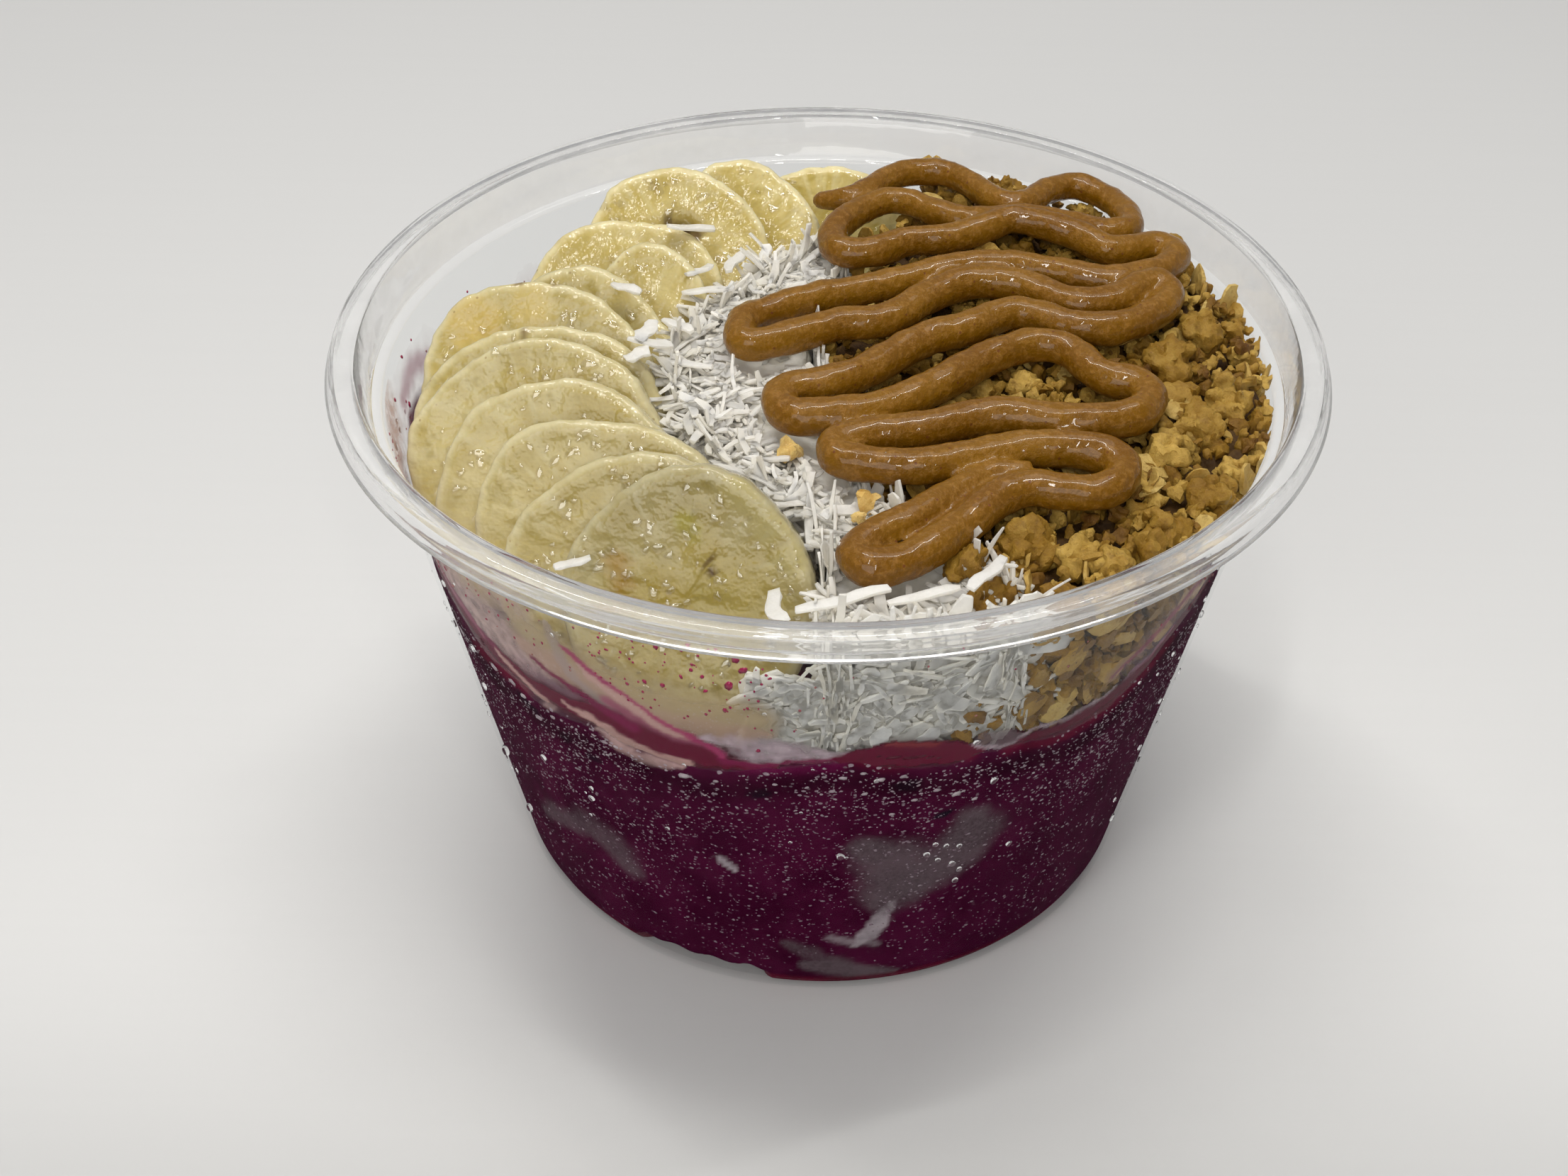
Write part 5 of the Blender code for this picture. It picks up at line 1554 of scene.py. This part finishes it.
def lumpShape(dice, name):
    # small lumps stuck together
    kinds, size, faces = granolaSet[name]
    made = []
    for k in range(int(dice.integers(*kinds))):
        deselectAll()
        away = Vector(dice.normal(size=3))
        away = away.normalized() * size * (0.62 if k else 0.0) * dice.uniform(0.6, 1.05)
        away.z *= 0.75
        bpy.ops.mesh.primitive_ico_sphere_add(subdivisions=2, radius=size * dice.uniform(0.2, 0.42) * mm,
                                              location=away * mm, rotation=tuple(dice.uniform(0, 6.3, 3)))
        lump = bpy.context.object
        flat = dice.uniform(0.35, 1.0)      # drawn before the two widths
        lump.scale = (dice.uniform(0.9, 1.35), dice.uniform(0.8, 1.1), flat)
        settle(lump)
        made.append(lump)
    deselectAll()
    for lump in made:
        lump.select_set(True)
    bpy.context.view_layer.objects.active = made[0]
    bpy.ops.object.join()
    cluster = bpy.context.object
    cluster.name = name
    addRemesh(cluster, "stuck", granolaSet["voxel"])
    applyAll(cluster)
    seed = float(dice.uniform(0, 90))
    setCorners(cluster, pushedOut(cluster, lambda p: (
        0.13 * size * wobble(p, size * 0.42, seed) + 0.10 * size * wobble(p, size * 0.2, seed + 5)
        + 0.06 * size * wobble(p, size * 0.1, seed + 9))))
    thin = cluster.modifiers.new("thin", "DECIMATE")
    thin.ratio = min(1.0, faces / max(1, len(triangles(cluster))))
    applyAll(cluster)
    return shapeOf(cluster)


def flakeShape(dice):
    # a rolled oat: a thin oval with a crease and an uneven edge
    flake = turnedShell("flake", [(0, 0.28), (0.55, 0.26), (0.95, 0.12), (0.98, -0.10), (0.55, -0.2), (0, -0.2)], 12)
    points = corners(flake) / mm
    x, y = points[:, 0], points[:, 1]
    edge = np.array([1 + 0.16 * noise.noise(Vector((math.atan2(b, a) * 1.3, dice.uniform(0, .01), 2.0)))
                     for a, b in zip(x, y)])
    points[:, 0] = x * edge * 1.3
    points[:, 1] = y * edge
    points[:, 2] += 0.16 * x * x * dice.uniform(-1, 1.6) + 0.2 * y * y * dice.uniform(-1, 1)
    points[:, 2] -= 0.16 * np.exp(-(y / 0.2) ** 2) * (points[:, 2] > 0)
    points += dice.normal(scale=0.03, size=points.shape)
    setCorners(flake, points * mm)
    return shapeOf(flake)


def makeGranola():
    dice = np.random.default_rng(granolaSet["seed"])
    oat = granolaMaterial("granola")
    clusterShapes = [lumpShape(dice, "cluster") for _ in range(granolaSet["clusterKinds"])]
    smallShapes = [lumpShape(dice, "lump") for _ in range(granolaSet["smallKinds"])]
    flakeShapes = [flakeShape(dice) for _ in range(granolaSet["smallKinds"])]

    def wanted(places, normals):
        return (normals[:, 2] > 0.35) * 1.0 + isAtWall(places, normals) * 1.7 + 0.02

    def scatter(name, shapes):
        count, low, high, sink, lean, margin, apart = granolaSet[name]
        spots, normals = surfacePlaces("granola", count * 6, dice, wanted)
        kept, radii = [], []
        for index in range(len(spots)):
            size = dice.uniform(low, high)
            if apart and kept:
                gaps = np.linalg.norm(spots[kept] - spots[index], axis=1) / mm
                if (gaps < apart * (np.array(radii) + size)).any():
                    continue
            kept.append(index)
            radii.append(size)
            if len(kept) >= count:
                break
        axes = axesFrom(normals[kept], dice, lean)
        placed = []
        for k, index in enumerate(kept):
            spot = spots[index] - normals[index] * mm * (sink * radii[k] + margin * dice.uniform(-1, 1))
            if normals[index][2] > 0.35:
                gap, under = nearBead(spot[0] / mm, spot[1] / mm)
                top = spot[2] / mm + radii[k] * 0.8
                room = under + 0.5 + max(0.0, gap) * 1.6
                if top > room:
                    spot[2] -= (top - room) * mm
            placed.append(spot)
        kinds = dice.integers(0, len(shapes), len(kept))
        return placed, axes, kinds, np.array(radii)

    def upright(count, lean):
        return axesFrom(np.tile((0.0, 0.0, 1.0), (count, 1)), dice, lean)

    spots, axes, kinds, radii = scatter("clusters", clusterShapes)
    heroes = np.array(granolaSet["heroes"])
    spots = np.concatenate([spots, heroes[:, :3] * mm])
    axes = np.concatenate([axes, upright(len(heroes), 0.4)])
    kinds = np.concatenate([kinds, dice.integers(0, len(clusterShapes), len(heroes))])
    radii = np.concatenate([radii, heroes[:, 3]])
    tones = dice.uniform(0.2, 1.0, len(radii))
    clusters = joinedCopies("granolaClusters", clusterShapes, kinds, spots, axes,
                            radii / granolaSet["clusterReach"], tones)
    finishPiece(clusters, ["granola"], oat, 50)
    spots, axes, kinds, radii = scatter("lumps", smallShapes)
    # lumps that slid down behind the wall
    turns = dice.uniform(*granolaSet["wallTurns"], granolaSet["wallLumps"])
    lows = shoreLevel(turns) + dice.uniform(*granolaSet["wallAbove"], len(turns))
    tones = dice.uniform(0.0, 1.0, len(radii) + granolaSet["wallLumps"])
    fallen = np.array([wallPlace(turn, low, -dice.uniform(1.0, 2.4))[0] for turn, low in zip(turns, lows)])
    spots = np.concatenate([spots, fallen])
    axes = np.concatenate([axes, upright(len(fallen), 0.9)])
    kinds = np.concatenate([kinds, dice.integers(0, len(smallShapes), len(fallen))])
    radii = np.concatenate([radii, dice.uniform(1.2, 2.3, len(fallen))])
    # painted shade: lumps low down behind the wall and under the heap are given darker tones
    tones *= np.where(spots[:, 2] < granolaSet["paintedShadeBelow"] * mm, granolaSet["shade"], 1.0)
    lumps = joinedCopies("granolaLumps", smallShapes, kinds, spots, axes, radii / granolaSet["lumpReach"], tones)
    finishPiece(lumps, (), oat, 50)
    spots, axes, kinds, radii = scatter("flakes", flakeShapes)
    flakes = joinedCopies("oatFlakes", flakeShapes, kinds, spots, axes, radii, dice.uniform(0.35, 1.0, len(radii)))
    finishPiece(flakes, (), granolaMaterial("rolled oats"), 50)
    crumbSet = np.array(granolaSet["crumbs"])
    crumbs = joinedCopies("nutCrumbs", smallShapes, crumbSet[:, 4].astype(int), crumbSet[:, :3] * mm,
                          upright(len(crumbSet), 0.25), crumbSet[:, 3], crumbSet[:, 5])
    finishPiece(crumbs, (), granolaMaterial("toasted nut"), 50)
    coreOf("granola", "granolaCore", granolaSet["coreShrink"], 0.8, 2.4, 1.5,
           granolaMaterial("granola in the shade"))


makeGranola()
